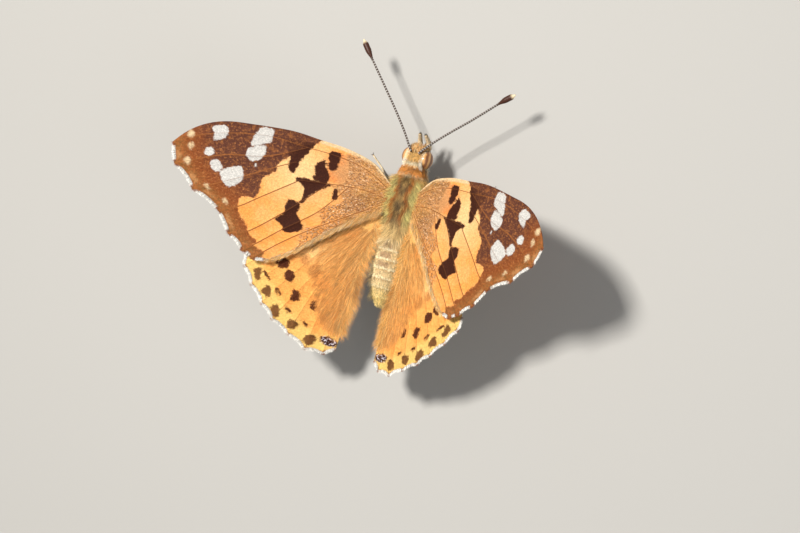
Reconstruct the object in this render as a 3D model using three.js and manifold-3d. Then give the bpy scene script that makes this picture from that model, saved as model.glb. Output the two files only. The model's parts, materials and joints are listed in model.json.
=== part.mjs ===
// A painted lady butterfly, life size, standing with its wings half raised.
// Millimetres, +Z up. The animal faces -Y and its left side is +X.
import * as THREE from "three";
import { mergeVertices } from "three/addons/utils/BufferGeometryUtils.js";
import Module from "manifold-3d";

const wasm = await Module();
wasm.setup();

// Driving sizes
const AXIS_HEIGHT = 6.2; // body axis above the floor
const GAP = 0.3; // clear space between neighbouring pieces
const WING_THICKNESS = 0.5;
const VEIN_RISE = 0.1; // each face
const VEIN_HALF_WIDTH = 0.3;
const LIMB_SIDES = 8;
const BODY_SIDES = 18;

const THORAX = { front: -5.3, rear: 2.9, halfWidth: 2.7, up: 2.6, down: 2.5, squareness: 2.6 };
const ABDOMEN = { front: 3.2, rear: 13.8, halfWidth: 2.15, segments: 8, groove: 0.07, droop: 1.6 };
const HEAD = { front: -9.1, rear: -5.6, halfWidth: 1.75, halfHeight: 1.75, rise: 0.25 };
const EYE = { x: 1.35, y: -7.7, z: 0.45, radii: [0.86, 1.25, 1.3] };
const COLORS = {
  wing: 0xd98a4a,
  body: 0x7a5a34,
  eye: 0x8a4a24,
  antenna: 0x2a1c14,
  leg: 0xcdb48c,
};

// Shape helpers
function solidMaterial(color, roughness) {
  return new THREE.MeshStandardMaterial({ color, roughness, metalness: 0 });
}

function geometryFrom(points, triangles) {
  const geometry = new THREE.BufferGeometry();
  geometry.setAttribute("position", new THREE.Float32BufferAttribute(points.flat(), 3));
  geometry.setIndex(triangles.flat());
  return geometry;
}

// A closed skin over rings that all have the same number of points.
function skinOf(rings) {
  const sides = rings[0].length;
  const points = rings.flat();
  const triangles = [];
  for (let i = 0; i < rings.length - 1; i++) {
    for (let j = 0; j < sides; j++) {
      const a = i * sides + j;
      const b = i * sides + ((j + 1) % sides);
      triangles.push([a, b, a + sides], [b, b + sides, a + sides]);
    }
  }
  for (const end of [0, rings.length - 1]) {
    const ring = rings[end];
    const middle = [0, 1, 2].map((k) => ring.reduce((sum, p) => sum + p[k], 0) / sides);
    const centre = points.push(middle) - 1;
    for (let j = 0; j < sides; j++) {
      const a = end * sides + j;
      const b = end * sides + ((j + 1) % sides);
      triangles.push(end === 0 ? [centre, b, a] : [centre, a, b]);
    }
  }
  return geometryFrom(points, triangles);
}

// One ring across the body: a superellipse in the plane y, its lower half of its own height.
function bodyRing(y, z, halfWidth, up, down, squareness, sides) {
  const ring = [];
  for (let j = 0; j < sides; j++) {
    const angle = (2 * Math.PI * j) / sides;
    const c = Math.cos(angle);
    const s = Math.sin(angle);
    const reach = (Math.abs(c) ** squareness + Math.abs(s) ** squareness) ** (-1 / squareness);
    ring.push([-halfWidth * reach * c, y, z + (s > 0 ? up : down) * reach * s]);
  }
  return ring;
}

// A tapered round rod through the given points: each is [x, y, z], and radiusAt takes 0 to 1.
function rod(path, radiusAt, steps, sides = LIMB_SIDES) {
  const curve = new THREE.CatmullRomCurve3(path.map((p) => new THREE.Vector3(...p)));
  const frames = curve.computeFrenetFrames(steps, false);
  const rings = [];
  for (let i = 0; i <= steps; i++) {
    const centre = curve.getPointAt(i / steps);
    const ring = [];
    for (let j = 0; j < sides; j++) {
      const angle = (2 * Math.PI * j) / sides;
      const p = centre
        .clone()
        .addScaledVector(frames.normals[i], radiusAt(i / steps) * Math.cos(angle))
        .addScaledVector(frames.binormals[i], radiusAt(i / steps) * Math.sin(angle));
      ring.push(p.toArray());
    }
    rings.push(ring);
  }
  return outward(skinOf(rings));
}

function solidOf(geometry) {
  const bare = geometry.clone();
  bare.deleteAttribute("normal");
  bare.deleteAttribute("uv");
  const merged = mergeVertices(bare, 1e-4);
  return new wasm.Manifold(
    new wasm.Mesh({
      numProp: 3,
      vertProperties: merged.attributes.position.array,
      triVerts: new Uint32Array(merged.index.array),
    }),
  );
}

function outward(geometry) {
  return solidOf(geometry).volume() < 0 ? turned(geometry) : geometry;
}

function turned(geometry) {
  const index = Array.from(geometry.index.array);
  for (let i = 0; i < index.length; i += 3) {
    [index[i + 1], index[i + 2]] = [index[i + 2], index[i + 1]];
  }
  const result = geometry.clone();
  result.setIndex(index);
  return result;
}

function mirrored(geometry) {
  return turned(geometry.clone().scale(-1, 1, 1));
}

// The largest closed surface of a solid, as a geometry.
function largestOf(solid) {
  const bodies = solid.decompose().sort((a, b) => b.volume() - a.volume());
  const mesh = bodies[0].getMesh();
  const geometry = new THREE.BufferGeometry();
  geometry.setAttribute("position", new THREE.BufferAttribute(mesh.vertProperties, 3));
  geometry.setIndex(new THREE.BufferAttribute(mesh.triVerts, 1));
  return geometry;
}

// Body
function thoraxSwell(y) {
  const middle = (THORAX.front + THORAX.rear) / 2;
  const u = Math.abs(y - middle) / ((THORAX.rear - THORAX.front) * 0.53);
  return (1 - u ** 3) ** 0.3;
}

// The point and the outward normal of the thorax's skin at y, at an angle from the left side upward.
function thoraxSide(y, angle) {
  const c = Math.cos(angle);
  const s = Math.sin(angle);
  const n = THORAX.squareness;
  const reach = (Math.abs(c) ** n + Math.abs(s) ** n) ** (-1 / n);
  const swell = thoraxSwell(y);
  const height = s > 0 ? THORAX.up : THORAX.down;
  const point = new THREE.Vector3(THORAX.halfWidth * swell * reach * c, y, height * swell * reach * s);
  const normal = new THREE.Vector3(c / THORAX.halfWidth, 0, s / height).normalize();
  return { point, normal };
}

function thoraxHalfWidthAt(y, z) {
  const swell = thoraxSwell(y);
  const share = Math.min(0.98, Math.abs(z) / (THORAX.up * swell));
  return THORAX.halfWidth * swell * (1 - share ** THORAX.squareness) ** (1 / THORAX.squareness);
}

function makeThorax() {
  const steps = 14;
  const rings = [];
  for (let i = 0; i <= steps; i++) {
    const y = THREE.MathUtils.lerp(THORAX.front, THORAX.rear, i / steps);
    const swell = thoraxSwell(y);
    const [w, up, down] = [THORAX.halfWidth, THORAX.up, THORAX.down].map((size) => size * swell);
    rings.push(bodyRing(y, 0, w, up, down, THORAX.squareness, BODY_SIDES));
  }
  return outward(skinOf(rings));
}

function makeAbdomen() {
  const rings = [];
  const perSegment = 3;
  const steps = ABDOMEN.segments * perSegment;
  for (let i = 0; i <= steps; i++) {
    const t = i / steps;
    const groove = i % perSegment === 0 ? ABDOMEN.groove : 0;
    const rise = 0.78 + 0.22 * Math.sin(Math.min(1, t / 0.35) * (Math.PI / 2));
    const taper = Math.max(0.16, (1 - Math.max(0, (t - 0.35) / 0.68) ** 2.6) ** 0.6);
    const half = (ABDOMEN.halfWidth - groove) * rise * taper;
    const y = THREE.MathUtils.lerp(ABDOMEN.front, ABDOMEN.rear, t);
    rings.push(bodyRing(y, 0.1 - ABDOMEN.droop * t * t, half, half, half * 0.95, 2, BODY_SIDES));
  }
  return outward(skinOf(rings));
}

function eyeGeometry(extra) {
  const [rx, ry, rz] = EYE.radii.map((r) => r + extra);
  return new THREE.SphereGeometry(1, 16, 12).scale(rx, ry, rz).translate(EYE.x, EYE.y, EYE.z);
}

function makeHead() {
  const steps = 10;
  const rings = [];
  for (let i = 0; i <= steps; i++) {
    const t = i / steps;
    const swell = 0.5 + 0.5 * Math.sin(Math.PI * Math.min(1, 0.12 + 0.88 * t) ** 0.9);
    const y = THREE.MathUtils.lerp(HEAD.front, HEAD.rear, t);
    const [w, h] = [HEAD.halfWidth * swell, HEAD.halfHeight * swell];
    rings.push(bodyRing(y, HEAD.rise, w, h, h, 2.2, BODY_SIDES));
  }
  const socket = eyeGeometry(GAP * 0.6);
  const skull = solidOf(outward(skinOf(rings)));
  return largestOf(skull.subtract(solidOf(socket)).subtract(solidOf(mirrored(mergeVertices(socket)))));
}

// Left feelers, palp and tongue
const ANTENNA = {
  path: [
    [0.72, -8.35, 2.15],
    [2.35, -10.5, 1.75],
    [4.5, -12.8, 1.6],
    [6.8, -15.1, 1.65],
    [10.3, -18.7, 1.9],
    [12.1, -20.5, 2.1],
  ],
  radius: 0.25,
  clubRadius: 0.42,
  clubStart: 0.84,
  leftReach: -1.1, // the left one is carried further forward than the right one
};

function antennaRadius(t) {
  const club = THREE.MathUtils.smoothstep(t, ANTENNA.clubStart - 0.04, ANTENNA.clubStart + 0.03);
  const tip = 1 - 0.55 * THREE.MathUtils.smoothstep(t, 0.95, 1);
  return THREE.MathUtils.lerp(ANTENNA.radius, ANTENNA.clubRadius, club) * tip;
}

function makeAntenna(side) {
  const last = ANTENNA.path.length - 1;
  const reach = side > 0 ? ANTENNA.leftReach : -ANTENNA.leftReach;
  const path = ANTENNA.path.map(([x, y, z], i) => [side * x, y + (reach * i * i) / (last * last), z]);
  return rod(path, antennaRadius, 26);
}

const PALP_PATH = [
  [0.62, -9.3, -0.75],
  [0.66, -9.95, -0.45],
  [0.56, -10.5, 0.15],
  [0.46, -10.95, 0.75],
];

function makePalp() {
  return rod(PALP_PATH, (t) => 0.3 * Math.sqrt(1 - 0.8 * t), 8);
}

const TONGUE = { y: -9.55, z: -2.0, inner: 0.32, outer: 0.95, turns: 1.35, radius: 0.21 };

function makeTongue() {
  const path = [];
  const steps = 16;
  for (let i = 0; i <= steps; i++) {
    const t = i / steps;
    const r = THREE.MathUtils.lerp(TONGUE.inner, TONGUE.outer, t);
    const angle = Math.PI / 2 - 2 * Math.PI * TONGUE.turns * (1 - t);
    path.push([0, TONGUE.y - r * Math.cos(angle), TONGUE.z + r * Math.sin(angle)]);
  }
  return rod(path, (t) => TONGUE.radius * (0.75 + 0.25 * t), 24, 6);
}

// Left wings
// A vein runs along a stem to one of its steps, then along its own branch to the margin.
const FOREWING = {
  steps: 9,
  root: [-3.3, 0.5],
  surface: (x, y) =>
    0.55 + 0.62 * x + 0.04 * y + 0.35 * Math.exp(-(((x - 8) / 6) ** 2)) - 0.5 * Math.exp(-((x / 2.5) ** 2)),
  stems: {
    costa: [[2.4, -3.3], [4.6, -5.3], [7.9, -6.2], [11.5, -6.4], [15.3, -6.5], [20.9, -5.7]],
    radius: [[2.4, -2.5], [4.6, -3.9], [6.8, -4.6], [9.6, -4.9], [12.6, -4.9]],
    middle: [[2.4, -1.9], [5, -2.6], [8, -2.8], [11, -2.8], [13.6, -2.5]],
    cubitus: [[2.4, -1.1], [4.4, -1.4], [6.6, -1.3], [9, -0.9], [12.4, -0.3]],
    anal: [[2.4, -0.3], [6.2, 3], [9.7, 6], [12.4, 8.6], [15.3, 11.9]],
    inner: [[2.4, 0.5], [4, 2], [6.4, 4.4], [8.6, 6.9], [11.1, 9.7], [13.4, 11.5]],
  },
  veins: [
    { stem: "costa" },
    { stem: "radius", at: 4, branch: [[17, -5], [20.9, -4.2], [24.6, -2.8], [27.9, -0.6]], ridge: 1 },
    { stem: "radius", at: 4, branch: [[17, -2.2], [21.8, -0.8], [27, 2.2]], ridge: 1 },
    { stem: "middle", at: 4, branch: [[16.2, -0.7], [20.3, 2.3], [24.2, 4.9]], ridge: 1, from: 4 },
    { stem: "cubitus", at: 4, branch: [[16.2, 3.3], [18.4, 5.4], [20.6, 6.7]], ridge: 1 },
    { stem: "cubitus", at: 3, branch: [[11.1, 1.9], [13.6, 5.1], [16.6, 8.4], [18.7, 9.4]], ridge: 1 },
    { stem: "cubitus", at: 2, branch: [[9.2, 3.1], [12.6, 6.7], [14.8, 9.2], [16.6, 11.2]], ridge: 1 },
    { stem: "anal", ridge: 1 },
    { stem: "inner" },
  ],
  scallops: [-1.15, -0.1, 0.28, 0.25, 0.05, 0.25, 0.25, 0.05],
};

const HINDWING = {
  steps: 9,
  root: [1, 3.6],
  surface: (x, y) => 1.95 + 0.435 * x + 0.04 * y - 1.6 * Math.exp(-(((x - 2.5) / 6.5) ** 2)),
  stems: {
    costa: [[2.4, 1.3], [5, 1.7], [8, 3], [11, 5], [14, 7.8], [16.6, 11.2]],
    radius: [[2.5, 1.8], [4.4, 3.2], [6.6, 5], [8.8, 7]],
    middle: [[2.5, 2.3], [4.2, 4.1], [6, 6.1], [7.9, 8.2]],
    cubitus: [[2.6, 2.8], [3.9, 4.9], [5.3, 7], [6.8, 9.2]],
    anal: [[2.6, 3.3], [3.7, 8], [4.2, 14], [4.3, 21.8]],
    inner: [[2.7, 3.7], [2.9, 8.4], [2.6, 13], [2.9, 17], [3, 20.7]],
  },
  veins: [
    { stem: "costa" },
    { stem: "radius", at: 2, branch: [[10.5, 7.4], [13.6, 10.1], [16.5, 13.1]], ridge: 1 },
    { stem: "radius", at: 3, branch: [[11.9, 11.4], [15, 15.3]], ridge: 1 },
    { stem: "middle", at: 3, branch: [[10.6, 12.7], [13.1, 17.4]], ridge: 1, from: 3 },
    { stem: "cubitus", at: 3, branch: [[9, 13.9], [11.3, 19.1]], ridge: 1 },
    { stem: "cubitus", at: 2, branch: [[6.6, 11], [7.8, 15.4], [9, 20.5]], ridge: 1 },
    { stem: "cubitus", at: 1, branch: [[4.9, 8.4], [5.8, 14.6], [6.6, 21.9]], ridge: 1 },
    { stem: "anal", ridge: 1 },
    { stem: "inner" },
  ],
  scallops: [-0.1, 0.25, 0.28, 0.28, 0.28, 0.3, 0.25, 0.1],
};

// A wing starts a gap's width outside the thorax, or beside its rear end.
function rootX(wing, x, y) {
  return Math.max(x - 0.3, thoraxHalfWidthAt(Math.min(y, THORAX.rear), wing.surface(x, y)) + GAP);
}

function sampled(points, count) {
  const curve = new THREE.SplineCurve(points.map((p) => new THREE.Vector2(...p)));
  return curve.getSpacedPoints(count);
}

// The points of one vein, from the root to the margin, always steps + 1 of them.
function veinPoints(wing, vein) {
  const stem = wing.stems[vein.stem];
  stem[0][0] = rootX(wing, ...stem[0]);
  if (vein.at === undefined) return sampled(stem, wing.steps);
  const shared = stem.slice(0, vein.at + 1).map((p) => new THREE.Vector2(...p));
  const branch = sampled([stem[vein.at], ...vein.branch], wing.steps - vein.at);
  return [...shared, ...branch.slice(1)];
}

function makeWing(wing) {
  const veins = wing.veins.map((vein) => veinPoints(wing, vein));
  const points = [];
  const keys = new Map();
  const addPoint = (x, y, rise) => {
    const key = x.toFixed(3) + "," + y.toFixed(3);
    if (!keys.has(key)) keys.set(key, points.push({ x, y, z: wing.surface(x, y), rise }) - 1);
    return keys.get(key);
  };
  const faces = [];
  const ridgeAt = (vein, k) => (vein.ridge && k >= (vein.from ?? 0) ? VEIN_RISE : 0);
  for (let i = 0; i < veins.length - 1; i++) {
    const rows = [];
    const endA = veins[i][wing.steps];
    const endB = veins[i + 1][wing.steps];
    const across = endB.clone().sub(endA);
    const inward = new THREE.Vector2(-across.y, across.x).normalize();
    for (let k = 0; k <= wing.steps; k++) {
      const a = veins[i][k];
      const b = veins[i + 1][k];
      const width = a.distanceTo(b);
      const edge = Math.min(0.3, VEIN_HALF_WIDTH / Math.max(width, 0.01));
      const row = [addPoint(a.x, a.y, ridgeAt(wing.veins[i], k))];
      for (const f of [edge, 0.5, 1 - edge]) {
        const p = a.clone().lerp(b, f);
        const bow = wing.scallops[i] * 4 * f * (1 - f) * (k / wing.steps) ** 4;
        p.addScaledVector(inward, bow);
        row.push(width < 0.05 ? row[0] : addPoint(p.x, p.y, 0));
      }
      row.push(width < 0.05 ? row[0] : addPoint(b.x, b.y, ridgeAt(wing.veins[i + 1], k)));
      rows.push(row);
    }
    for (let k = 0; k < wing.steps; k++) {
      for (let j = 0; j < 4; j++) {
        faces.push([rows[k][j], rows[k + 1][j], rows[k][j + 1]]);
        faces.push([rows[k][j + 1], rows[k + 1][j], rows[k + 1][j + 1]]);
      }
    }
  }
  return plateFrom(points, faces.filter(([a, b, c]) => a !== b && b !== c && a !== c));
}

// Both faces of a plate, split into the same triangles, and the rim between them.
function plateFrom(points, faces) {
  const half = WING_THICKNESS / 2;
  const top = points.map((p) => [p.x, p.y, p.z + half + p.rise]);
  const bottom = points.map((p) => [p.x, p.y, p.z - half - p.rise]);
  const count = points.length;
  const edges = new Set(faces.flatMap(([a, b, c]) => [a + "," + b, b + "," + c, c + "," + a]));
  const triangles = faces.flatMap(([a, b, c]) => [[a, b, c], [a + count, c + count, b + count]]);
  for (const edge of edges) {
    const [a, b] = edge.split(",").map(Number);
    if (edges.has(b + "," + a)) continue;
    triangles.push([b, a, a + count], [b, a + count, b + count]);
  }
  return outward(geometryFrom([...top, ...bottom], triangles));
}

// Legs
// Each walking leg: where it leaves the thorax, its knee, its ankle and the tip of its foot.
const LEGS = {
  midleg: { y: -1.6, angle: -0.95, knee: [5.2, -3.3, -0.6], ankle: [7, -4.6, -5.35], toe: [9.6, -6.6] },
  hindleg: { y: 1.2, angle: -0.95, knee: [5, 4.3, -0.9], ankle: [6.6, 7, -5.35], toe: [8, 10.9] },
};
const LEG_RADII = { femur: 0.38, tibia: 0.32, joint: 0.24 };
const JOINT_TRIM = 0.42; // from a joint's centre to the end of each piece
const ANKLE_TRIM = 0.1; // the shin stands on the start of the foot
const FOOT = { halfWidth: 0.3, height: 0.55 };
// The small front pair is folded under the thorax: from the hip round the knee to the tip.
const FORELEG = {
  y: -4,
  angle: -1.05,
  path: [[1.9, -5, -2.95], [2, -5.65, -3.6], [1.75, -4.9, -4.15], [1.4, -3.1, -4.4]],
  thick: 0.3,
  tip: 0.2,
};

function limbRadius(thick) {
  return (t) => LEG_RADII.joint + (thick - LEG_RADII.joint) * Math.sin(Math.PI * t) ** 0.6;
}

function trimmed(from, to, start, end) {
  const a = new THREE.Vector3(...from);
  const b = new THREE.Vector3(...to);
  const along = b.clone().sub(a).normalize();
  return [a.addScaledVector(along, start).toArray(), b.addScaledVector(along, -end).toArray()];
}

function makeFemur({ y, angle, knee }) {
  const { point, normal } = thoraxSide(y, angle);
  const start = point.clone().addScaledVector(normal, GAP + 0.05);
  const next = start.clone().addScaledVector(normal, 0.7);
  const [, end] = trimmed(next.toArray(), knee, 0, JOINT_TRIM);
  return rod([start.toArray(), next.toArray(), end], limbRadius(LEG_RADII.femur), 8);
}

function makeTibia({ knee, ankle }) {
  return rod(trimmed(knee, ankle, JOINT_TRIM, ANKLE_TRIM), limbRadius(LEG_RADII.tibia), 6);
}

// A foot: a low bar with a flat sole on the floor and a rounded back.
function makeTarsus({ ankle, toe }) {
  const floor = -AXIS_HEIGHT;
  const from = new THREE.Vector2(ankle[0], ankle[1]);
  const to = new THREE.Vector2(...toe);
  const along = to.clone().sub(from).normalize();
  const across = new THREE.Vector2(-along.y, along.x);
  const length = from.distanceTo(to);
  const steps = 8;
  const rings = [];
  for (let i = 0; i <= steps; i++) {
    const t = i / steps;
    const width = FOOT.halfWidth * (1 - 0.35 * t);
    const height = FOOT.height * (1 - 0.35 * t);
    const middle = from.clone().addScaledVector(along, length * t);
    const ring = [];
    for (const [u, v] of [[-1, 0], [-1, 0.45], [-0.6, 0.9], [0, 1], [0.6, 0.9], [1, 0.45], [1, 0]]) {
      const p = middle.clone().addScaledVector(across, width * u);
      ring.push([p.x, p.y, floor + height * v]);
    }
    rings.push(ring);
  }
  return outward(skinOf(rings));
}

function makeForeleg() {
  const { point, normal } = thoraxSide(FORELEG.y, FORELEG.angle);
  const start = point.clone().addScaledVector(normal, GAP + 0.05);
  const radiusAt = (t) => THREE.MathUtils.lerp(FORELEG.thick, FORELEG.tip, t);
  return rod([start.toArray(), ...FORELEG.path], radiusAt, 18);
}

// The butterfly
const butterfly = new THREE.Group();
const bodyFrame = new THREE.Group();
bodyFrame.position.z = AXIS_HEIGHT;
butterfly.add(bodyFrame);

function add(name, geometry, color, roughness) {
  const mesh = new THREE.Mesh(geometry, solidMaterial(color, roughness));
  mesh.name = name;
  bodyFrame.add(mesh);
}

function addPair(name, makeLeft, color, roughness, suffix = "") {
  const left = makeLeft();
  add(name + "_left" + suffix, left, color, roughness);
  add(name + "_right" + suffix, mirrored(left), color, roughness);
}

add("thorax", makeThorax(), COLORS.body, 0.9);
add("abdomen", makeAbdomen(), COLORS.body, 0.9);
add("head", makeHead(), COLORS.body, 0.9);
add("proboscis", makeTongue(), COLORS.antenna, 0.5);
addPair("eye", () => mergeVertices(eyeGeometry(0)), COLORS.eye, 0.2);
addPair("palp", makePalp, COLORS.leg, 0.9);
add("antenna_left", makeAntenna(1), COLORS.antenna, 0.7);
add("antenna_right", makeAntenna(-1), COLORS.antenna, 0.7);
addPair("forewing", () => makeWing(FOREWING), COLORS.wing, 0.8);
addPair("hindwing", () => makeWing(HINDWING), COLORS.wing, 0.8);
addPair("foreleg", makeForeleg, COLORS.leg, 0.9);
for (const [name, leg] of Object.entries(LEGS)) {
  addPair(name, () => makeFemur(leg), COLORS.leg, 0.9, "_femur");
  addPair(name, () => makeTibia(leg), COLORS.leg, 0.9, "_tibia");
  addPair(name, () => makeTarsus(leg), COLORS.leg, 0.9, "_tarsus");
}

// The origin is the middle of the whole butterfly's footprint, on the floor.
butterfly.updateMatrixWorld(true);
const box = new THREE.Box3().setFromObject(butterfly);
bodyFrame.position.x -= (box.min.x + box.max.x) / 2;
bodyFrame.position.y -= (box.min.y + box.max.y) / 2;
bodyFrame.position.z -= box.min.z;

export default butterfly;
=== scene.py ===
"""A painted lady butterfly, life size, standing with half raised wings on a plain pale floor.

Shapes are worked out in millimetres in the body's own frame (X to the animal's left, -Y ahead,
Z up, origin on the thorax's axis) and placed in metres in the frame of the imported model.
"""
import json
import math

import bpy
import numpy as np
from mathutils import Matrix, Vector

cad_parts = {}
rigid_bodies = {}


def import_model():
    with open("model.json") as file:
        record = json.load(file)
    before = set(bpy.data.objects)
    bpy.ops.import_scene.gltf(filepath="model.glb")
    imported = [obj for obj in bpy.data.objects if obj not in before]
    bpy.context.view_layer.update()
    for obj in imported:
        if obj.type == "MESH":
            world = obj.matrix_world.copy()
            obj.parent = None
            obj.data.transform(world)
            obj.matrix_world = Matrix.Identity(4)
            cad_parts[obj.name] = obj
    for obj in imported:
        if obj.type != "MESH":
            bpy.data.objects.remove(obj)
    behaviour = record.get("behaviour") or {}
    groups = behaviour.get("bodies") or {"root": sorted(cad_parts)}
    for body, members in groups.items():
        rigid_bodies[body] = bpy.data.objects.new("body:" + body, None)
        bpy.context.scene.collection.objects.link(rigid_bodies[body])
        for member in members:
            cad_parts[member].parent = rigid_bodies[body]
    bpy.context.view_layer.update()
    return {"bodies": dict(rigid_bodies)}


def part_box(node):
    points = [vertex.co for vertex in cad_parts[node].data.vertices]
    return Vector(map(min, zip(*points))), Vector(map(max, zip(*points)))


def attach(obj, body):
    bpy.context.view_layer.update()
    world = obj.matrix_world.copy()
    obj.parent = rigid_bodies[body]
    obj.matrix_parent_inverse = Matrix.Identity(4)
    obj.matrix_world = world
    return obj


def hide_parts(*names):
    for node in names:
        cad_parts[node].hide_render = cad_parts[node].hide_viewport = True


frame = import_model()
rng = np.random.default_rng(7)
BODY = list(frame["bodies"])[0]

# Sizes in millimetres, the same as the solids'
AXIS_HEIGHT = 6.2
THORAX_FRONT = -5.3
MM = 0.001
SHIFT = np.array([0.0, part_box("thorax")[0].y / MM - THORAX_FRONT, AXIS_HEIGHT])
SIDES = (("left", 1), ("right", -1))
OVAL_SIDES = 14

# Colours, linear
ORANGE = (0.88, 0.345, 0.08)
DEEP_ORANGE = (0.88, 0.27, 0.06)
PEACH = (0.92, 0.62, 0.30)
TAN = (0.68, 0.36, 0.15)
GOLD = (0.80, 0.47, 0.15)
YELLOW = (0.86, 0.56, 0.17)
BROWN = (0.20, 0.070, 0.020)
RED_BROWN = (0.24, 0.064, 0.016)
DARK = (0.045, 0.012, 0.006)
OUTER_BROWN = (0.38, 0.135, 0.036)
APEX_BROWN = (0.105, 0.036, 0.022)
WHITE = (0.64, 0.62, 0.58)
CREAM = (0.82, 0.66, 0.40)
OLIVE = (0.22, 0.115, 0.034)
GREEN_GOLD = (0.62, 0.53, 0.19)
SLATE = (0.33, 0.36, 0.42)
PINK = (0.80, 0.30, 0.14)
MARBLE_BROWN = (0.30, 0.19, 0.09)
MARBLE_PALE = (0.72, 0.63, 0.47)


# Placing and mesh helpers
def to_frame(points):
    return (np.asarray(points, float) + SHIFT) * MM


def unit(v):
    return v / np.maximum(np.linalg.norm(v, axis=-1, keepdims=True), 1e-9)


def mesh_piece(name, points, faces, materials, slot, side=1, kinds=None, uv=None, normals=None, **facts):
    """A piece of the butterfly from points in body millimetres.

    side -1 mirrors it, kinds are the faces' material numbers, and facts hold one value or vector a point.
    """
    mesh = bpy.data.meshes.new(name)
    mesh.from_pydata(to_frame(points * (side, 1, 1)).tolist(), [], np.asarray(faces)[:, ::side].tolist())
    for key, values in facts.items():
        values = np.asarray(values, np.float32)
        if values.ndim == 1:
            mesh.attributes.new(key, "FLOAT", "POINT").data.foreach_set("value", values)
        else:
            mesh.attributes.new(key, "FLOAT_VECTOR", "POINT").data.foreach_set("vector", values.ravel())
    for material in materials:
        mesh.materials.append(material)
    if kinds is not None:
        mesh.polygons.foreach_set("material_index", np.asarray(kinds, np.int32))
    if uv is not None:
        loops = np.zeros(len(mesh.loops), np.int32)
        mesh.loops.foreach_get("vertex_index", loops)
        layer = mesh.uv_layers.new(name="OFBake")
        layer.data.foreach_set("uv", np.asarray(uv, np.float32)[loops].ravel())
    mesh.polygons.foreach_set("use_smooth", np.ones(len(mesh.polygons), bool))
    mesh.update()
    if normals is not None:
        mesh.normals_split_custom_set_from_vertices(normals.tolist())
    piece = bpy.data.objects.new(name, mesh)
    bpy.context.collection.objects.link(piece)
    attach(piece, BODY)
    return piece


def loft(rings):
    """Points and faces of a closed skin over rings of equal count."""
    count, sides = len(rings), len(rings[0])
    points = np.concatenate([np.concatenate(rings), [np.mean(rings[0], 0)], [np.mean(rings[-1], 0)]])
    faces = []
    for i in range(count - 1):
        for j in range(sides):
            a, b = i * sides + j, i * sides + (j + 1) % sides
            faces += [(a, b, b + sides), (a, b + sides, a + sides)]
    first, last = count * sides, count * sides + 1
    for j in range(sides):
        k = (j + 1) % sides
        faces.append((first, k, j))
        faces.append((last, (count - 1) * sides + j, (count - 1) * sides + k))
    return points, faces


def sweep(path, radii, sides):
    """A rod along a path with one radius a point."""
    path = np.asarray(path, float)
    tangent = unit(np.gradient(path, axis=0))
    side = np.cross(tangent[0], (0, 0, 1))
    if np.linalg.norm(side) < 0.2:
        side = np.cross(tangent[0], (1, 0, 0))
    rings = []
    for p, t, r in zip(path, tangent, radii):
        side = side - (side @ t) * t
        side /= np.linalg.norm(side)
        up = np.cross(side, t)
        angles = np.linspace(0, 2 * math.pi, sides, endpoint=False)
        rings.append(p + r * (np.outer(np.cos(angles), side) + np.outer(np.sin(angles), up)))
    return loft(rings)


def catmull(points, per_segment, closed=False):
    """Points along a uniform Catmull-Rom curve that passes through the given ones."""
    points = np.asarray(points, float)
    n = len(points)
    pick = (lambda i: points[i % n]) if closed else (lambda i: points[min(max(i, 0), n - 1)])
    out = []
    for i in range(n if closed else n - 1):
        p0, p1, p2, p3 = pick(i - 1), pick(i), pick(i + 1), pick(i + 2)
        for t in np.arange(per_segment) / per_segment:
            v0, v1 = (p2 - p0) / 2, (p3 - p1) / 2
            bend = (2 * p1 - 2 * p2 + v0 + v1) * t**3 + (-3 * p1 + 3 * p2 - 2 * v0 - v1) * t**2
            out.append(bend + v0 * t + p1)
    if not closed:
        out.append(points[-1])
    return np.array(out)


def run_length(line):
    """How far along a line each of its points lies."""
    return np.r_[0, np.cumsum(np.linalg.norm(np.diff(line, axis=0), axis=1))]


def spaced(points, count):
    """count + 1 points evenly along the curve through the given ones."""
    fine = catmull(points, 40)
    along = run_length(fine)
    at = np.linspace(0, along[-1], count + 1)
    return np.stack([np.interp(at, along, fine[:, k]) for k in range(fine.shape[1])], 1)


def signed_distance(p, outline):
    """Distance in the plane from each point to a closed outline, negative inside."""
    closed = np.concatenate([outline, outline[:1]])
    inside = np.zeros(len(p), bool)
    for a, b in zip(closed[:-1], closed[1:]):
        crosses = (a[1] > p[:, 1]) != (b[1] > p[:, 1])
        rise = b[1] - a[1] or 1e-12
        inside ^= crosses & (p[:, 0] < a[0] + (p[:, 1] - a[1]) / rise * (b[0] - a[0]))
    distance = line_distance(p, closed)
    return np.where(inside, -distance, distance)


def line_distance(p, line):
    """Distance in the plane from each point to a line through several points."""
    best = np.full(len(p), 1e9)
    for a, b in zip(line[:-1], line[1:]):
        ab = b - a
        t = np.clip(((p - a) @ ab) / max(ab @ ab, 1e-12), 0, 1)
        best = np.minimum(best, np.linalg.norm(p - a - t[:, None] * ab, axis=1))
    return best


def oval(x, y, across, along, turn=0.0):
    angle = np.linspace(0, 2 * math.pi, OVAL_SIDES, endpoint=False)
    c, s = math.cos(turn), math.sin(turn)
    u, v = across * np.cos(angle), along * np.sin(angle)
    return np.c_[x + c * u - s * v, y + s * u + c * v]


def marks(p, shapes):
    """Signed distance to the nearest of several shapes: outlines of a few corners, rounded, or ovals."""
    best = np.full(len(p), 9.0)
    for shape in shapes:
        outline = shape if isinstance(shape, np.ndarray) else catmull(shape, 5, closed=True)
        best = np.minimum(best, signed_distance(p, outline))
    return best


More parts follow.
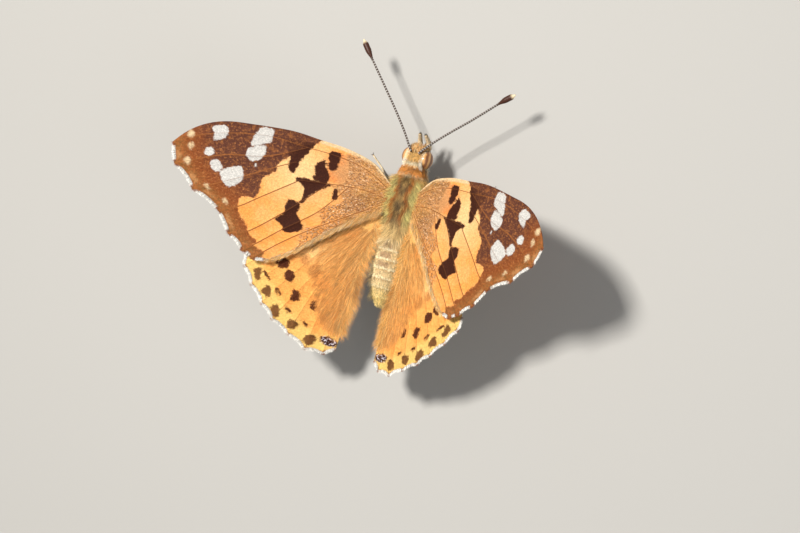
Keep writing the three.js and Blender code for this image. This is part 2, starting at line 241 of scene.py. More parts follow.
# Shader helpers
class Shader:
    """Builds one material's node tree from short calls that take and return sockets or numbers."""

    def __init__(self, name, roughness=0.8, sheen=0.0, coat=0.0, specular=0.3):
        self.material = bpy.data.materials.new(name)
        self.material.use_nodes = True
        self.tree = self.material.node_tree
        self.surface = self.tree.nodes["Principled BSDF"]
        self.surface.inputs["Roughness"].default_value = roughness
        self.surface.inputs["Sheen Weight"].default_value = sheen
        self.surface.inputs["Coat Weight"].default_value = coat
        self.surface.inputs["Specular IOR Level"].default_value = specular
        self.top = None

    def feed(self, socket, value):
        if isinstance(value, bpy.types.NodeSocket):
            self.tree.links.new(value, socket)
        elif isinstance(value, tuple):
            socket.default_value = (*value, 1.0)[: len(socket.default_value)]
        else:
            socket.default_value = value

    def node(self, kind, output, values, **settings):
        """A new node's output. values go to its inputs, by their names or places."""
        node = self.tree.nodes.new("ShaderNode" + kind)
        for key, value in settings.items():
            setattr(node, key, value)
        for socket, value in values.items():
            self.feed(node.inputs[socket], value)
        return node.outputs[output]

    def math(self, kind, *values):
        return self.node("Math", 0, dict(enumerate(values)), operation=kind)

    def add(self, a, b):
        return self.math("ADD", a, b)

    def times(self, a, b):
        return self.math("MULTIPLY", a, b)

    def ramp(self, value, low, high, out_low=0.0, out_high=1.0):
        values = dict(enumerate((value, low, high, out_low, out_high)))
        return self.node("MapRange", 0, values, interpolation_type="SMOOTHSTEP")

    def mix(self, share, a, b):
        return self.node("Mix", 2, {0: share, 6: a, 7: b}, data_type="RGBA")

    def lay(self, share, color):
        """Lays a share of a colour over the ones laid before."""
        self.top = self.mix(share, self.top, color)

    def value(self, name, output="Fac"):
        return self.node("Attribute", output, {}, attribute_name=name)

    def vector(self, name):
        return self.value(name, "Vector")

    def stretched(self, vector, scale):
        return self.node("VectorMath", 0, {0: vector, 1: scale}, operation="MULTIPLY")

    def scaled(self, color, amount):
        return self.node("VectorMath", 0, {0: color, "Scale": amount}, operation="SCALE")

    def noise(self, vector, scale, detail=3.0, rough=0.6):
        values = {"Vector": vector, "Scale": scale, "Detail": detail, "Roughness": rough}
        return self.node("TexNoise", "Fac", values)

    def cells(self, vector, scale):
        return self.node("TexVoronoi", "Distance", {"Vector": vector, "Scale": scale})

    def bump(self, height, strength, distance):
        values = {"Strength": strength, "Distance": distance, "Height": height}
        self.feed(self.surface.inputs["Normal"], self.node("Bump", 0, values))

    def color(self, value):
        self.feed(self.surface.inputs["Base Color"], value)
        return self.material


# Wings
# Each vein runs along a stem to one of its steps, then along its own branch to the margin.
STEPS = 9
FOREWING = {
    "surface": lambda x, y: 0.55 + 0.62 * x + 0.04 * y + 0.35 * np.exp(-(((x - 8) / 6) ** 2))
    - 0.5 * np.exp(-((x / 2.5) ** 2)),
    "stems": {
        "costa": [(2.3, -3.3), (4.6, -5.3), (7.9, -6.2), (11.5, -6.4), (15.3, -6.5), (20.9, -5.7)],
        "radius": [(2.3, -2.5), (4.6, -3.9), (6.8, -4.6), (9.6, -4.9), (12.6, -4.9)],
        "middle": [(2.3, -1.9), (5, -2.6), (8, -2.8), (11, -2.8), (13.6, -2.5)],
        "cubitus": [(2.3, -1.1), (4.4, -1.4), (6.6, -1.3), (9, -0.9), (12.4, -0.3)],
        "anal": [(2.3, -0.3), (6.2, 3), (9.7, 6), (12.4, 8.6), (15.3, 11.9)],
        "inner": [(2.3, 0.5), (4, 2), (6.4, 4.4), (8.6, 6.9), (11.1, 9.7), (13.4, 11.5)],
    },
    "veins": [
        ("costa", None, [], False),
        ("radius", 4, [(17, -5), (20.9, -4.2), (24.6, -2.8), (27.9, -0.6)], True),
        ("radius", 4, [(17, -2.2), (21.8, -0.8), (27, 2.2)], True),
        ("middle", 4, [(16.2, -0.7), (20.3, 2.3), (24.2, 4.9)], True),
        ("cubitus", 4, [(16.2, 3.3), (18.4, 5.4), (20.6, 6.7)], True),
        ("cubitus", 3, [(11.1, 1.9), (13.6, 5.1), (16.6, 8.4), (18.7, 9.4)], True),
        ("cubitus", 2, [(9.2, 3.1), (12.6, 6.7), (14.8, 9.2), (16.6, 11.2)], True),
        ("anal", None, [], True),
        ("inner", None, [], False),
    ],
    "scallops": [-1.15, -0.1, 0.28, 0.25, 0.05, 0.25, 0.25, 0.05],
    "edge_from": 1,  # the pale edge leaves out the front margin's rounded end
}
HINDWING = {
    "surface": lambda x, y: 1.95 + 0.435 * x + 0.04 * y - 1.6 * np.exp(-(((x - 2.5) / 6.5) ** 2)),
    "stems": {
        "costa": [(2.3, 1.3), (5, 1.7), (8, 3), (11, 5), (14, 7.8), (16.6, 11.2)],
        "radius": [(2.4, 1.8), (4.4, 3.2), (6.6, 5), (8.8, 7)],
        "middle": [(2.4, 2.3), (4.2, 4.1), (6, 6.1), (7.9, 8.2)],
        "cubitus": [(2.5, 2.8), (3.9, 4.9), (5.3, 7), (6.8, 9.2)],
        "anal": [(2.5, 3.3), (3.7, 8), (4.2, 14), (4.3, 21.8)],
        "inner": [(2.4, 3.7), (2.9, 8.4), (2.6, 13), (2.9, 17), (3, 20.7)],
    },
    "veins": [
        ("costa", None, [], False),
        ("radius", 2, [(10.5, 7.4), (13.6, 10.1), (16.5, 13.1)], True),
        ("radius", 3, [(11.9, 11.4), (15, 15.3)], True),
        ("middle", 3, [(10.6, 12.7), (13.1, 17.4)], True),
        ("cubitus", 3, [(9, 13.9), (11.3, 19.1)], True),
        ("cubitus", 2, [(6.6, 11), (7.8, 15.4), (9, 20.5)], True),
        ("cubitus", 1, [(4.9, 8.4), (5.8, 14.6), (6.6, 21.9)], True),
        ("anal", None, [], True),
        ("inner", None, [], False),
    ],
    "scallops": [-0.1, 0.25, 0.28, 0.28, 0.28, 0.3, 0.25, 0.1],
    "edge_from": 0,
}
ROWS_PER_STEP = 8
ACROSS = 16
MARGIN_STEPS = 12
MEMBRANE = 0.10  # half thickness
PLEAT = 0.16
VEIN_RELIEF = 0.07
INNER_X = 1.2


def fine_vein(wing, vein):
    """A vein's plan points, begun a little inside the body."""
    stem_name, at, branch, _ = vein
    stem = wing["stems"][stem_name]
    inside = [(INNER_X, stem[0][1] * 0.9)]
    if at is None:
        return np.concatenate([inside, spaced(stem, STEPS * ROWS_PER_STEP)])
    shared = catmull(stem[: at + 1], ROWS_PER_STEP)
    own = spaced([stem[at], *branch], (STEPS - at) * ROWS_PER_STEP)
    return np.concatenate([inside, shared, own[1:]])


def ridge_start(vein):
    """The row from which a vein stands out of the wing, or infinity for the wing's front and rear edges."""
    stem_name, at, _, ridged = vein
    if not ridged:
        return math.inf
    return at * ROWS_PER_STEP if stem_name == "middle" else 0


def right_angle(across):
    return unit(np.array([-across[1], across[0]]))


def wing_sheet(wing):
    """The left wing's upper face: plan points, faces, facts of each point, veins and outer margin."""
    veins = [fine_vein(wing, vein) for vein in wing["veins"]]
    ridges = [ridge_start(vein) for vein in wing["veins"]]
    rows = STEPS * ROWS_PER_STEP + 1
    index, plan, faces, facts, margin = {}, [], [], [], []

    def point(p, *fact):
        key = (round(p[0], 3), round(p[1], 3))
        if key not in index:
            index[key] = len(plan)
            plan.append(p)
            facts.append(fact)
        return index[key]

    for i, (a_line, b_line, depth) in enumerate(zip(veins[:-1], veins[1:], wing["scallops"])):
        across = b_line[-1] - a_line[-1]
        inward = right_angle(across)
        grid = []
        for k in range(rows + 1):
            a, b = a_line[k], b_line[k]
            width = np.linalg.norm(b - a)
            row = []
            for j in range(ACROSS + 1):
                f = j / ACROSS
                bow = depth * 4 * f * (1 - f) * (k / rows) ** 4
                gap = min(f * width if k >= ridges[i] else 9, (1 - f) * width if k >= ridges[i + 1] else 9)
                fold = math.sin(math.pi * f) * min(1, width / 2.5) * min(1, k / 20)
                if width < 0.03:
                    row.append(point(a, 0.0, fold, k / rows))
                else:
                    row.append(point(a + (b - a) * f + inward * bow, gap, fold, k / rows))
            grid.append(row)
        for k in range(rows):
            for j in range(ACROSS):
                a, b, c, d = grid[k][j], grid[k + 1][j], grid[k + 1][j + 1], grid[k][j + 1]
                faces += [t for t in ((a, b, d), (d, b, c)) if len(set(t)) == 3]
        if i >= wing["edge_from"]:
            shares = np.arange(MARGIN_STEPS) / MARGIN_STEPS
            margin += [a_line[-1] + across * f + inward * depth * 4 * f * (1 - f) for f in shares]
    margin.append(veins[-1][-1])
    facts = dict(zip(("vein", "fold", "reach"), np.array(facts).T))
    return np.array(plan), faces, facts, veins, np.array(margin)


FORE_DARK = [
    [(9.9, -5.2), (8.7, -5.3), (8.7, -4.3), (8.7, -3.0), (9.3, -2.8), (9.7, -3.4)],
    [(10.5, -3.9), (9.8, -2.8), (9.35, -2.2), (9.3, -0.8), (10.2, -0.8), (11.1, -1.1), (10.9, -1.8),
     (11.2, -2.6)],
    [(9.0, -0.85), (9.0, -0.5), (10.0, 0.3), (10.8, 1.3), (11.5, 2.7), (11.6, 1.6), (11.8, 0.5),
     (12.9, -0.35), (12.2, -0.7)],
    [(13.2, 2.7), (12.0, 2.7), (11.5, 3.2), (11.7, 4.1), (10.6, 5.7), (11.0, 6.5), (12.4, 7.0), (12.9, 6.3),
     (13.8, 5.7), (13.1, 4.6)],
    [(12.2, -5.6), (12.4, -4.5), (12.9, -3.3), (13.2, -2.1), (13.5, -1.1), (14.1, -1.3), (14.4, -2.9),
     (15.0, -5.2)],
    [(8.1, -0.5), (7.6, 0.4), (7.9, 1.1), (8.3, 0.7)],
]
FORE_FIELD = [
    (11.6, -7.5), (12.2, -5.3), (14.2, -3.1), (15.1, -2.3), (15.5, -1.4), (15.5, -0.6), (16.8, 0.9),
    (16.7, 2.4), (16.9, 3.7), (18.5, 4.0), (18.6, 5.2), (18.2, 6.4), (17.0, 7.6), (16.3, 8.8), (15.2, 9.2),
    (15.4, 10.1), (14.0, 10.7), (15.6, 13.5), (21, 12), (31, 3), (29, -6), (20, -9),
]
FORE_WHITE = [
    [(21.7, 1.5), (20.4, 0.4), (19.5, 0.2), (18.9, 1.7), (20.0, 3.1), (20.8, 3.1)],
    oval(23.6, -0.7, 0.6, 0.62),
    oval(22.4, 0.9, 0.66, 0.85, 0.5),
    [(24.1, -4.0), (22.8, -4.7), (22.1, -4.0), (22.4, -3.0), (23.5, -2.3), (23.6, -3.3)],
    [(18.6, -5.8), (17.3, -6.0), (17.0, -5.3), (17.1, -4.2), (19.1, -3.1), (19.1, -4.4)],
    [(19.3, -2.7), (17.6, -3.5), (17.3, -2.6), (17.6, -1.6), (18.6, -1.0), (19.4, -1.7)],
    oval(18.0, -0.7, 0.12, 0.3),
]
FORE_PALE = [oval(26.2, -2.3, 0.4, 0.5), oval(25.8, -0.8, 0.3, 0.5), oval(25.7, 1.3, 0.38, 0.55),
             oval(22.6, 4.0, 0.25, 0.5, 0.6), oval(20.2, 5.3, 0.25, 0.42, 0.5)]
FORE_DEEP = [
    [(9.9, -4.6), (9.7, -2.4), (9.3, -1.2), (8.2, -1.3), (7.3, -2.1), (7.4, -3.5), (7.8, -4.7), (8.8, -5.5)],
]
HIND_DARK = [
    oval(12.0, 11.2, 0.86, 0.84, 0.4), oval(10.8, 12.7, 0.68, 0.9, 0.3), oval(9.4, 15.1, 0.6, 0.78, 0.2),
    oval(7.1, 15.8, 0.42, 0.72, 0.1), oval(13.5, 13.4, 0.22, 0.85, 0.75), oval(11.6, 15.2, 0.24, 0.6, 0.75),
    oval(9.8, 17.2, 0.26, 0.65, 0.95), oval(7.5, 18.4, 0.25, 0.6, 0.8), oval(14.6, 13.6, 0.55, 0.95, 0.3),
    oval(12.9, 15.6, 0.6, 0.85, 0.3), oval(11.2, 17.8, 0.62, 0.95, 0.2), oval(8.8, 19.0, 0.72, 0.75, 0.3),
    oval(6.4, 20.4, 0.85, 0.8, 1.0),
]
HIND_DUSK = [
    oval(10.0, 7.8, 0.5, 0.8, 0.4), oval(9.6, 10.0, 0.55, 0.75), oval(8.2, 11.2, 0.8, 0.9),
    oval(7.5, 5.8, 0.7, 1.1, 0.2),
]
EYESPOTS = [(12.0, 11.2), (10.8, 12.7), (9.4, 15.1), (7.1, 15.8), (5.2, 16.6)]


def wing_facts(kind, plan, facts, veins, margin):
    """The markings as distances in millimetres, for the shader to cut with soft, uneven edges."""
    found = {"vein": facts["vein"], "reach": facts["reach"], "margin": line_distance(plan, margin)}
    found["costa"] = line_distance(plan, veins[0]) + np.maximum(plan[:, 0] - 11.3, 0)
    if kind == "forewing":
        found["dark"] = marks(plan, FORE_DARK)
        found["field"] = signed_distance(plan, catmull(FORE_FIELD, 4, closed=True))
        found["white"] = marks(plan, FORE_WHITE)
        found["pale"] = marks(plan, FORE_PALE)
        found["dusk"] = marks(plan, FORE_DEEP)
        found["glow"] = np.exp(-(np.linalg.norm(plan - (12.6, -1.4), axis=1) / 4.0) ** 2)
    else:
        found["dark"] = marks(plan, HIND_DARK)
        found["field"] = np.min([np.linalg.norm(plan - np.array(c), axis=1) for c in EYESPOTS], 0)
        found["white"] = marks(plan, [oval(4.1, 19.9, 1.3, 0.6, -0.12)])
        found["dusk"] = marks(plan, HIND_DUSK)
        found["glow"] = np.exp(-(np.linalg.norm(plan - (8.9, 7.4), axis=1) / 2.2) ** 2)
    return found


def wing_grain(shader):
    """What the wing materials start from: plan, wobble, grain, scales, patch, vein and margin.

    wobble is added to a distance to make an edge uneven.
    """
    plan = shader.vector("plan")
    broad = shader.add(shader.noise(plan, 1.5, 5, 0.7), -0.5)
    fine = shader.times(shader.add(shader.noise(plan, 8.0, 3, 0.8), -0.5), 0.55)
    grain = shader.noise(plan, 9.0, 3, 0.75)
    scales = shader.cells(shader.stretched(plan, (1.0, 1.6, 1.0)), 8.0)
    patch = shader.noise(plan, 0.45, 3)
    return plan, shader.add(broad, fine), grain, scales, patch, shader.value("vein"), shader.value("margin")


def cut(shader, name, wobble, soft=0.09, shift=0.0):
    """1 inside a marking, 0 outside, with a soft uneven edge."""
    distance = shader.add(shader.add(shader.value(name), wobble), shift)
    return shader.ramp(distance, -soft, soft, 1.0, 0.0)


def finish_wing(shader, grain, scales):
    """The material of a wing whose colours are laid: darker and lighter scales, and their relief."""
    speck = shader.ramp(grain, 0.3, 0.72, 0.74, 1.18)
    coarse = shader.noise(shader.vector("plan"), 3.6, 3, 0.8)
    speck = shader.times(speck, shader.ramp(coarse, 0.38, 0.62, 0.84, 1.1))
    cell = shader.ramp(scales, 0.1, 0.75, 1.06, 0.84)
    shader.bump(shader.add(scales, shader.times(grain, 0.6)), 0.35, 0.00006)
    return shader.color(shader.scaled(shader.top, shader.times(speck, cell)))


def forewing_upper():
    s = Shader("forewing_upper", 0.75, specular=0.12)
    plan, wobble, grain, scales, patch, vein, margin = wing_grain(s)
    speckled = s.ramp(grain, 0.52, 0.60)
    s.top = s.mix(s.ramp(patch, 0.35, 0.65, 0.0, 0.22), ORANGE, PEACH)
    s.lay(s.times(s.value("glow"), 0.75), PEACH)
    s.lay(cut(s, "dusk", wobble, 0.35), DEEP_ORANGE)
    near_root = s.ramp(s.add(s.value("reach"), s.times(wobble, 0.15)), 0.24, 0.36, 1.0, 0.0)
    dusting = s.mix(speckled, TAN, s.mix(s.ramp(patch, 0.4, 0.6), BROWN, OUTER_BROWN))
    s.lay(s.times(near_root, 0.9), dusting)
    strip = s.ramp(s.add(s.value("costa"), s.times(wobble, 0.3)), 0.35, 0.6, 0.85, 0.0)
    s.lay(strip, s.mix(speckled, CREAM, TAN))
    on_vein = s.ramp(vein, 0.02, 0.11, 0.9, 0.0)
    s.lay(on_vein, BROWN)
    blackish = s.ramp(s.add(margin, s.times(wobble, 3.0)), 1.8, 5.5)
    apex = s.mix(blackish, RED_BROWN, APEX_BROWN)
    apex = s.mix(s.ramp(s.noise(plan, 1.3, 5, 0.75), 0.48, 0.68, 0.0, 0.6), apex, OUTER_BROWN)
    apex = s.mix(s.ramp(s.noise(plan, 3.2, 3, 0.8), 0.55, 0.63, 0.0, 0.8), apex, (0.46, 0.18, 0.055))
    outer = s.mix(s.ramp(s.noise(plan, 2.2, 4, 0.75), 0.42, 0.6), OUTER_BROWN, OLIVE)
    apex = s.mix(s.ramp(s.add(margin, wobble), 0.6, 2.2, 0.7, 0.0), apex, outer)
    apex = s.mix(s.ramp(grain, 0.47, 0.38, 0.0, 0.6), apex, APEX_BROWN)
    apex = s.mix(s.ramp(vein, 0.02, 0.14, 0.7, 0.0), apex, OUTER_BROWN)
    s.lay(cut(s, "field", wobble), apex)
    black = s.mix(s.ramp(grain, 0.55, 0.75, 0.0, 0.5), DARK, RED_BROWN)
    black = s.mix(s.times(cut(s, "field", wobble, 0.9, 0.6), 0.6), black, apex)
    s.lay(cut(s, "dark", wobble, 0.09, -0.05), black)
    s.lay(s.times(cut(s, "pale", wobble, 0.2), 0.75), CREAM)
    bright = s.mix(s.ramp(grain, 0.35, 0.6, 0.35, 0.0), WHITE, SLATE)
    s.lay(cut(s, "white", s.times(wobble, 0.75), 0.08), bright)
    s.lay(s.ramp(vein, 0.02, 0.08, 0.45, 0.0), BROWN)
    between = s.ramp(vein, 0.45, 0.85)
    from_edge = s.add(margin, wobble)
    lunule = s.times(s.ramp(from_edge, 0.35, 0.5), s.ramp(from_edge, 0.7, 1.1, 0.4, 0.0))
    s.lay(s.times(lunule, s.times(between, s.ramp(patch, 0.4, 0.6))), TAN)
    edge = s.times(s.ramp(margin, 0.16, 0.34, 1.0, 0.0), between)
    s.lay(s.times(edge, s.ramp(patch, 0.3, 0.45)), WHITE)
    return finish_wing(s, grain, scales)


def hindwing_upper():
    s = Shader("hindwing_upper", 0.75, specular=0.12)
    plan, wobble, grain, scales, patch, vein, margin = wing_grain(s)
    speckled = s.ramp(grain, 0.52, 0.60)
    s.top = s.mix(s.ramp(patch, 0.35, 0.65, 0.0, 0.35), (0.88, 0.36, 0.085), YELLOW)
    s.lay(s.times(s.value("glow"), 0.8), PEACH)
    s.lay(s.ramp(s.add(margin, wobble), 1.5, 2.7, 0.9, 0.0), YELLOW)
    s.lay(s.ramp(s.value("reach"), 0.25, 0.55, 0.7, 0.0), s.mix(speckled, GOLD, TAN))
    dusk = s.times(cut(s, "dusk", wobble, 0.35), s.ramp(grain, 0.42, 0.56, 0.1, 0.8))
    s.lay(dusk, RED_BROWN)
    s.lay(s.ramp(vein, 0.02, 0.10, 0.35, 0.0), RED_BROWN)
    black = s.mix(s.ramp(grain, 0.42, 0.7, 0.0, 0.75), DARK, RED_BROWN)
    black = s.mix(s.ramp(margin, 1.2, 2.4, 0.6, 0.0), black, s.mix(speckled, OLIVE, RED_BROWN))
    s.lay(cut(s, "dark", s.times(wobble, 1.3), 0.12, 0.02), black)
    dusted = s.mix(s.ramp(s.noise(plan, 4.0, 2), 0.52, 0.60), DARK, (0.60, 0.55, 0.62))
    s.lay(cut(s, "white", s.times(wobble, 1.3), 0.15), dusted)
    line = s.ramp(s.add(margin, s.times(wobble, 0.3)), 0.22, 0.40, 0.75, 0.0)
    s.lay(s.times(line, s.ramp(vein, 0.25, 0.7, 1.0, 0.25)), BROWN)
    s.lay(s.ramp(margin, 0.12, 0.22, 0.9, 0.0), WHITE)
    return finish_wing(s, grain, scales)


def forewing_under():
    s = Shader("forewing_under", 0.8, specular=0.12)
    plan, wobble, grain, scales, patch, vein, margin = wing_grain(s)
    s.top = s.mix(s.ramp(patch, 0.35, 0.65), PINK, ORANGE)
    apex = s.mix(s.ramp(s.noise(plan, 0.8, 4), 0.4, 0.6), MARBLE_BROWN, MARBLE_PALE)
    near_edge = s.ramp(margin, 2.6, 5.0, 1.0, 0.0)
    s.lay(cut(s, "field", wobble), s.mix(near_edge, DARK, apex))
    s.lay(cut(s, "dark", wobble, shift=0.15), DARK)
    s.lay(cut(s, "white", wobble, shift=-0.15), WHITE)
    s.lay(s.ramp(vein, 0.03, 0.16, 0.7, 0.0), MARBLE_PALE)
    return finish_wing(s, grain, scales)


def hindwing_under():
    s = Shader("hindwing_under", 0.8, specular=0.12)
    plan, wobble, grain, scales, patch, vein, margin = wing_grain(s)
    marble = s.noise(plan, 0.75, 4)
    s.top = s.mix(s.ramp(marble, 0.42, 0.5), MARBLE_BROWN, MARBLE_PALE)
    s.lay(s.ramp(marble, 0.6, 0.68), (0.16, 0.10, 0.05))
    s.lay(s.ramp(vein, 0.04, 0.24, 1.0, 0.0), WHITE)
    ring = s.add(s.value("field"), s.times(wobble, 0.3))
    s.lay(s.ramp(ring, 1.25, 1.4, 1.0, 0.0), MARBLE_BROWN)
    s.lay(s.ramp(ring, 1.05, 1.2, 1.0, 0.0), CREAM)
    s.lay(s.ramp(ring, 0.72, 0.85, 1.0, 0.0), DARK)
    s.lay(s.ramp(ring, 0.4, 0.5, 1.0, 0.0), (0.10, 0.16, 0.26))
    line = s.times(s.ramp(margin, 0.9, 1.05), s.ramp(margin, 1.35, 1.5, 1.0, 0.0))
    s.lay(line, SLATE)
    s.lay(s.ramp(margin, 0.35, 0.6, 0.8, 0.0), TAN)
    return finish_wing(s, grain, scales)


def make_wing(kind, wing, upper, under):
    """Both wings of a kind: two faces a membrane apart, with raised veins, and the wall between them."""
    plan, faces, facts, veins, margin = wing_sheet(wing)
    rise = VEIN_RELIEF * np.exp(-((facts["vein"] / 0.16) ** 2))
    thin = MEMBRANE * (1 - 0.3 * facts["reach"])
    middle = wing["surface"](plan[:, 0], plan[:, 1]) - PLEAT * facts["fold"]
    points = np.concatenate([np.c_[plan, middle + thin + rise], np.c_[plan, middle - thin - rise * 0.6]])
    count = len(plan)
    tri = np.asarray(faces)
    edges = dict.fromkeys((int(t[i - 1]), int(t[i])) for t in tri for i in (1, 2, 0))
    rim = [(a, b) for a, b in edges if (b, a) not in edges]
    wall = [f for a, b in rim for f in ((b, a, a + count), (b, a + count, b + count))]
    faces = np.concatenate([tri, tri[:, ::-1] + count, np.array(wall)])
    kinds = np.r_[np.zeros(len(tri)), np.ones(len(tri)), np.zeros(len(wall))]
    values = {k: np.tile(v, 2) for k, v in wing_facts(kind, plan, facts, veins, margin).items()}
    values["plan"] = np.c_[np.tile(plan, (2, 1)), np.zeros(2 * count)]
    for name, side in SIDES:
        stem = f"{kind}_{name}"
        piece = mesh_piece(stem + "_wing", points, faces, [upper, under], "wing", side, kinds, **values)
        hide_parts(stem)
    return margin


# Tufts of hair and scales
TUFT_PATCH = 0.003  # width of a tuft's own patch in the unwrap
TUFT_POINTS = 7  # three at the root, three at the bend and the tip


def tufts(name, roots, start, end, length, width, tint, uv, material, slot, normal, side=1):
    """Thin tapered tufts: each leaves its root along start and ends along end. Arrays have a row a tuft.

    Each is shaded mostly as the skin under it would be, by the skin's normal. side -1 mirrors them.
    """
    n = len(roots)
    roots, start, end, normal = (v * (side, 1, 1) for v in (roots, unit(start), unit(end), normal))
    across = unit(np.cross(start, end) + rng.normal(0, 0.25, (n, 3)))
    up = unit(np.cross(across, start))
    length, width = length[:, None], width[:, None]
    middle = roots + start * length * 0.45
    tip = middle + unit(start * 0.35 + end) * length * 0.55
    corners, normals = [], []
    for centre, share in ((roots - start * 0.05, 1.0), (middle, 0.75)):
        for turn in (0.0, 2.1, 4.2):
            out = across * math.cos(turn) + up * math.sin(turn)
            corners.append(centre + width * share / 2 * (out - 0.4 * up * math.sin(turn)))
            normals.append(unit(normal + 0.45 * out))
    points = np.stack([*corners, tip], 1).reshape(-1, 3)
    normals = np.stack([*normals, unit(normal)], 1).reshape(-1, 3)
    pattern = [(0, 2, 1), (0, 1, 4), (0, 4, 3), (1, 2, 5), (1, 5, 4), (2, 0, 3), (2, 3, 5),
               (3, 4, 6), (4, 5, 6), (5, 3, 6)]
    faces = (np.arange(n)[:, None, None] * TUFT_POINTS + np.array(pattern)[None]).reshape(-1, 3)
    if np.linalg.det(np.stack([points[1] - points[0], points[2] - points[0], tip[0] - points[0]])) < 0:
        faces = faces[:, ::-1]
    offsets = np.array([(0, 0), (1, 0), (0, 1), (0, 0.4), (1, 0.4), (0.5, 1), (0.5, 0.5)]) * TUFT_PATCH
    patch = (np.asarray(uv)[:, None, :] * 0.99 + offsets[None]).reshape(-1, 2)
    shade = np.repeat(rng.random(n), TUFT_POINTS)
    along = np.tile([0, 0, 0, 0.5, 0.5, 0.5, 1.0], n)
    mesh_piece(name, points, faces, [material], slot, uv=patch, normals=normals,
               tint=np.repeat(tint, TUFT_POINTS, 0), shade=shade, along=along)


CLUMPS = rng.random((97, 61))


def clump(a, b, size):
    """A number from 0 to 1 shared by the tufts of each small patch of skin, so that hair gathers in locks."""
    i = np.floor(a / size + rng.normal(0, 0.22, len(a))).astype(int)
    j = np.floor(b / size + rng.normal(0, 0.22, len(a))).astype(int)
    return CLUMPS[i % CLUMPS.shape[0], j % CLUMPS.shape[1]]


def coat_material(name, roughness=0.6):
    s = Shader(name, roughness, sheen=0.05)
    darker = s.ramp(s.value("along"), 0.0, 1.0, 0.62, 1.2)
    varied = s.ramp(s.value("shade"), 0.0, 1.0, 0.62, 1.3)
    return s.color(s.scaled(s.vector("tint"), s.times(darker, varied)))


# Body: one skin from the face to the tip of the abdomen
# Each station is y, height of the middle, half width, height above and depth below it.
STATIONS = np.array([
    (-9.15, 0.1, 0.45, 0.6, 0.6), (-8.9, 0.15, 0.95, 1.05, 1.1), (-8.3, 0.2, 1.3, 1.4, 1.4),
    (-7.4, 0.25, 1.45, 1.5, 1.4), (-6.5, 0.2, 1.45, 1.4, 1.3), (-5.8, 0.1, 1.55, 1.5, 1.35),
    (-5.1, 0.0, 1.8, 1.75, 1.65), (-4.2, 0.0, 2.2, 2.05, 2.0), (-2.6, 0.0, 2.4, 2.25, 2.15),
    (-0.6, 0.0, 2.4, 2.25, 2.15), (1.2, 0.0, 2.2, 2.05, 1.95), (2.6, 0.03, 1.75, 1.65, 1.5),
    (3.3, 0.08, 1.65, 1.6, 1.45), (4.3, 0.08, 1.85, 1.85, 1.7), (6.0, -0.0, 2.05, 2.05, 1.9),
    (8.0, -0.2, 2.05, 2.05, 1.9), (10.2, -0.6, 1.88, 1.85, 1.7), (12.2, -1.1, 1.36, 1.32, 1.2),
    (13.3, -1.4, 0.78, 0.75, 0.68), (13.65, -1.5, 0.35, 0.33, 0.33),
])
ABDOMEN_START = 3.3
SEGMENT_LENGTH = 1.32


def station(y):
    """Half width, height above, depth below and the middle's height of the skin at y."""
    return [np.interp(y, STATIONS[:, 0], STATIONS[:, k]) for k in (1, 2, 3, 4)]


def skin_point(y, angle):
    """A point of the body's skin, its outward normal and its place on the unwrap."""
    z, w, up, down = station(y)
    c, s = np.cos(angle), np.sin(angle)
    height = np.where(s > 0, up, down)
    p = np.c_[w * c, y, z + height * s]
    slope = (station(y + 0.1)[1] - station(y - 0.1)[1]) / 0.2
    normal = unit(np.c_[c / w, -slope / w, s / height])
    uv = np.c_[0.02 + 0.95 * ((angle / (2 * math.pi)) % 1.0), 0.02 + 0.95 * (y + 9.2) / 23.0]
    return p, normal, uv


def lerp(share, a, b):
    share = np.asarray(share)[..., None]
    return np.asarray(a) * (1 - share) + np.asarray(b) * share


def smooth(value, low, high):
    t = np.clip((value - low) / (high - low), 0, 1)
    return t * t * (3 - 2 * t)


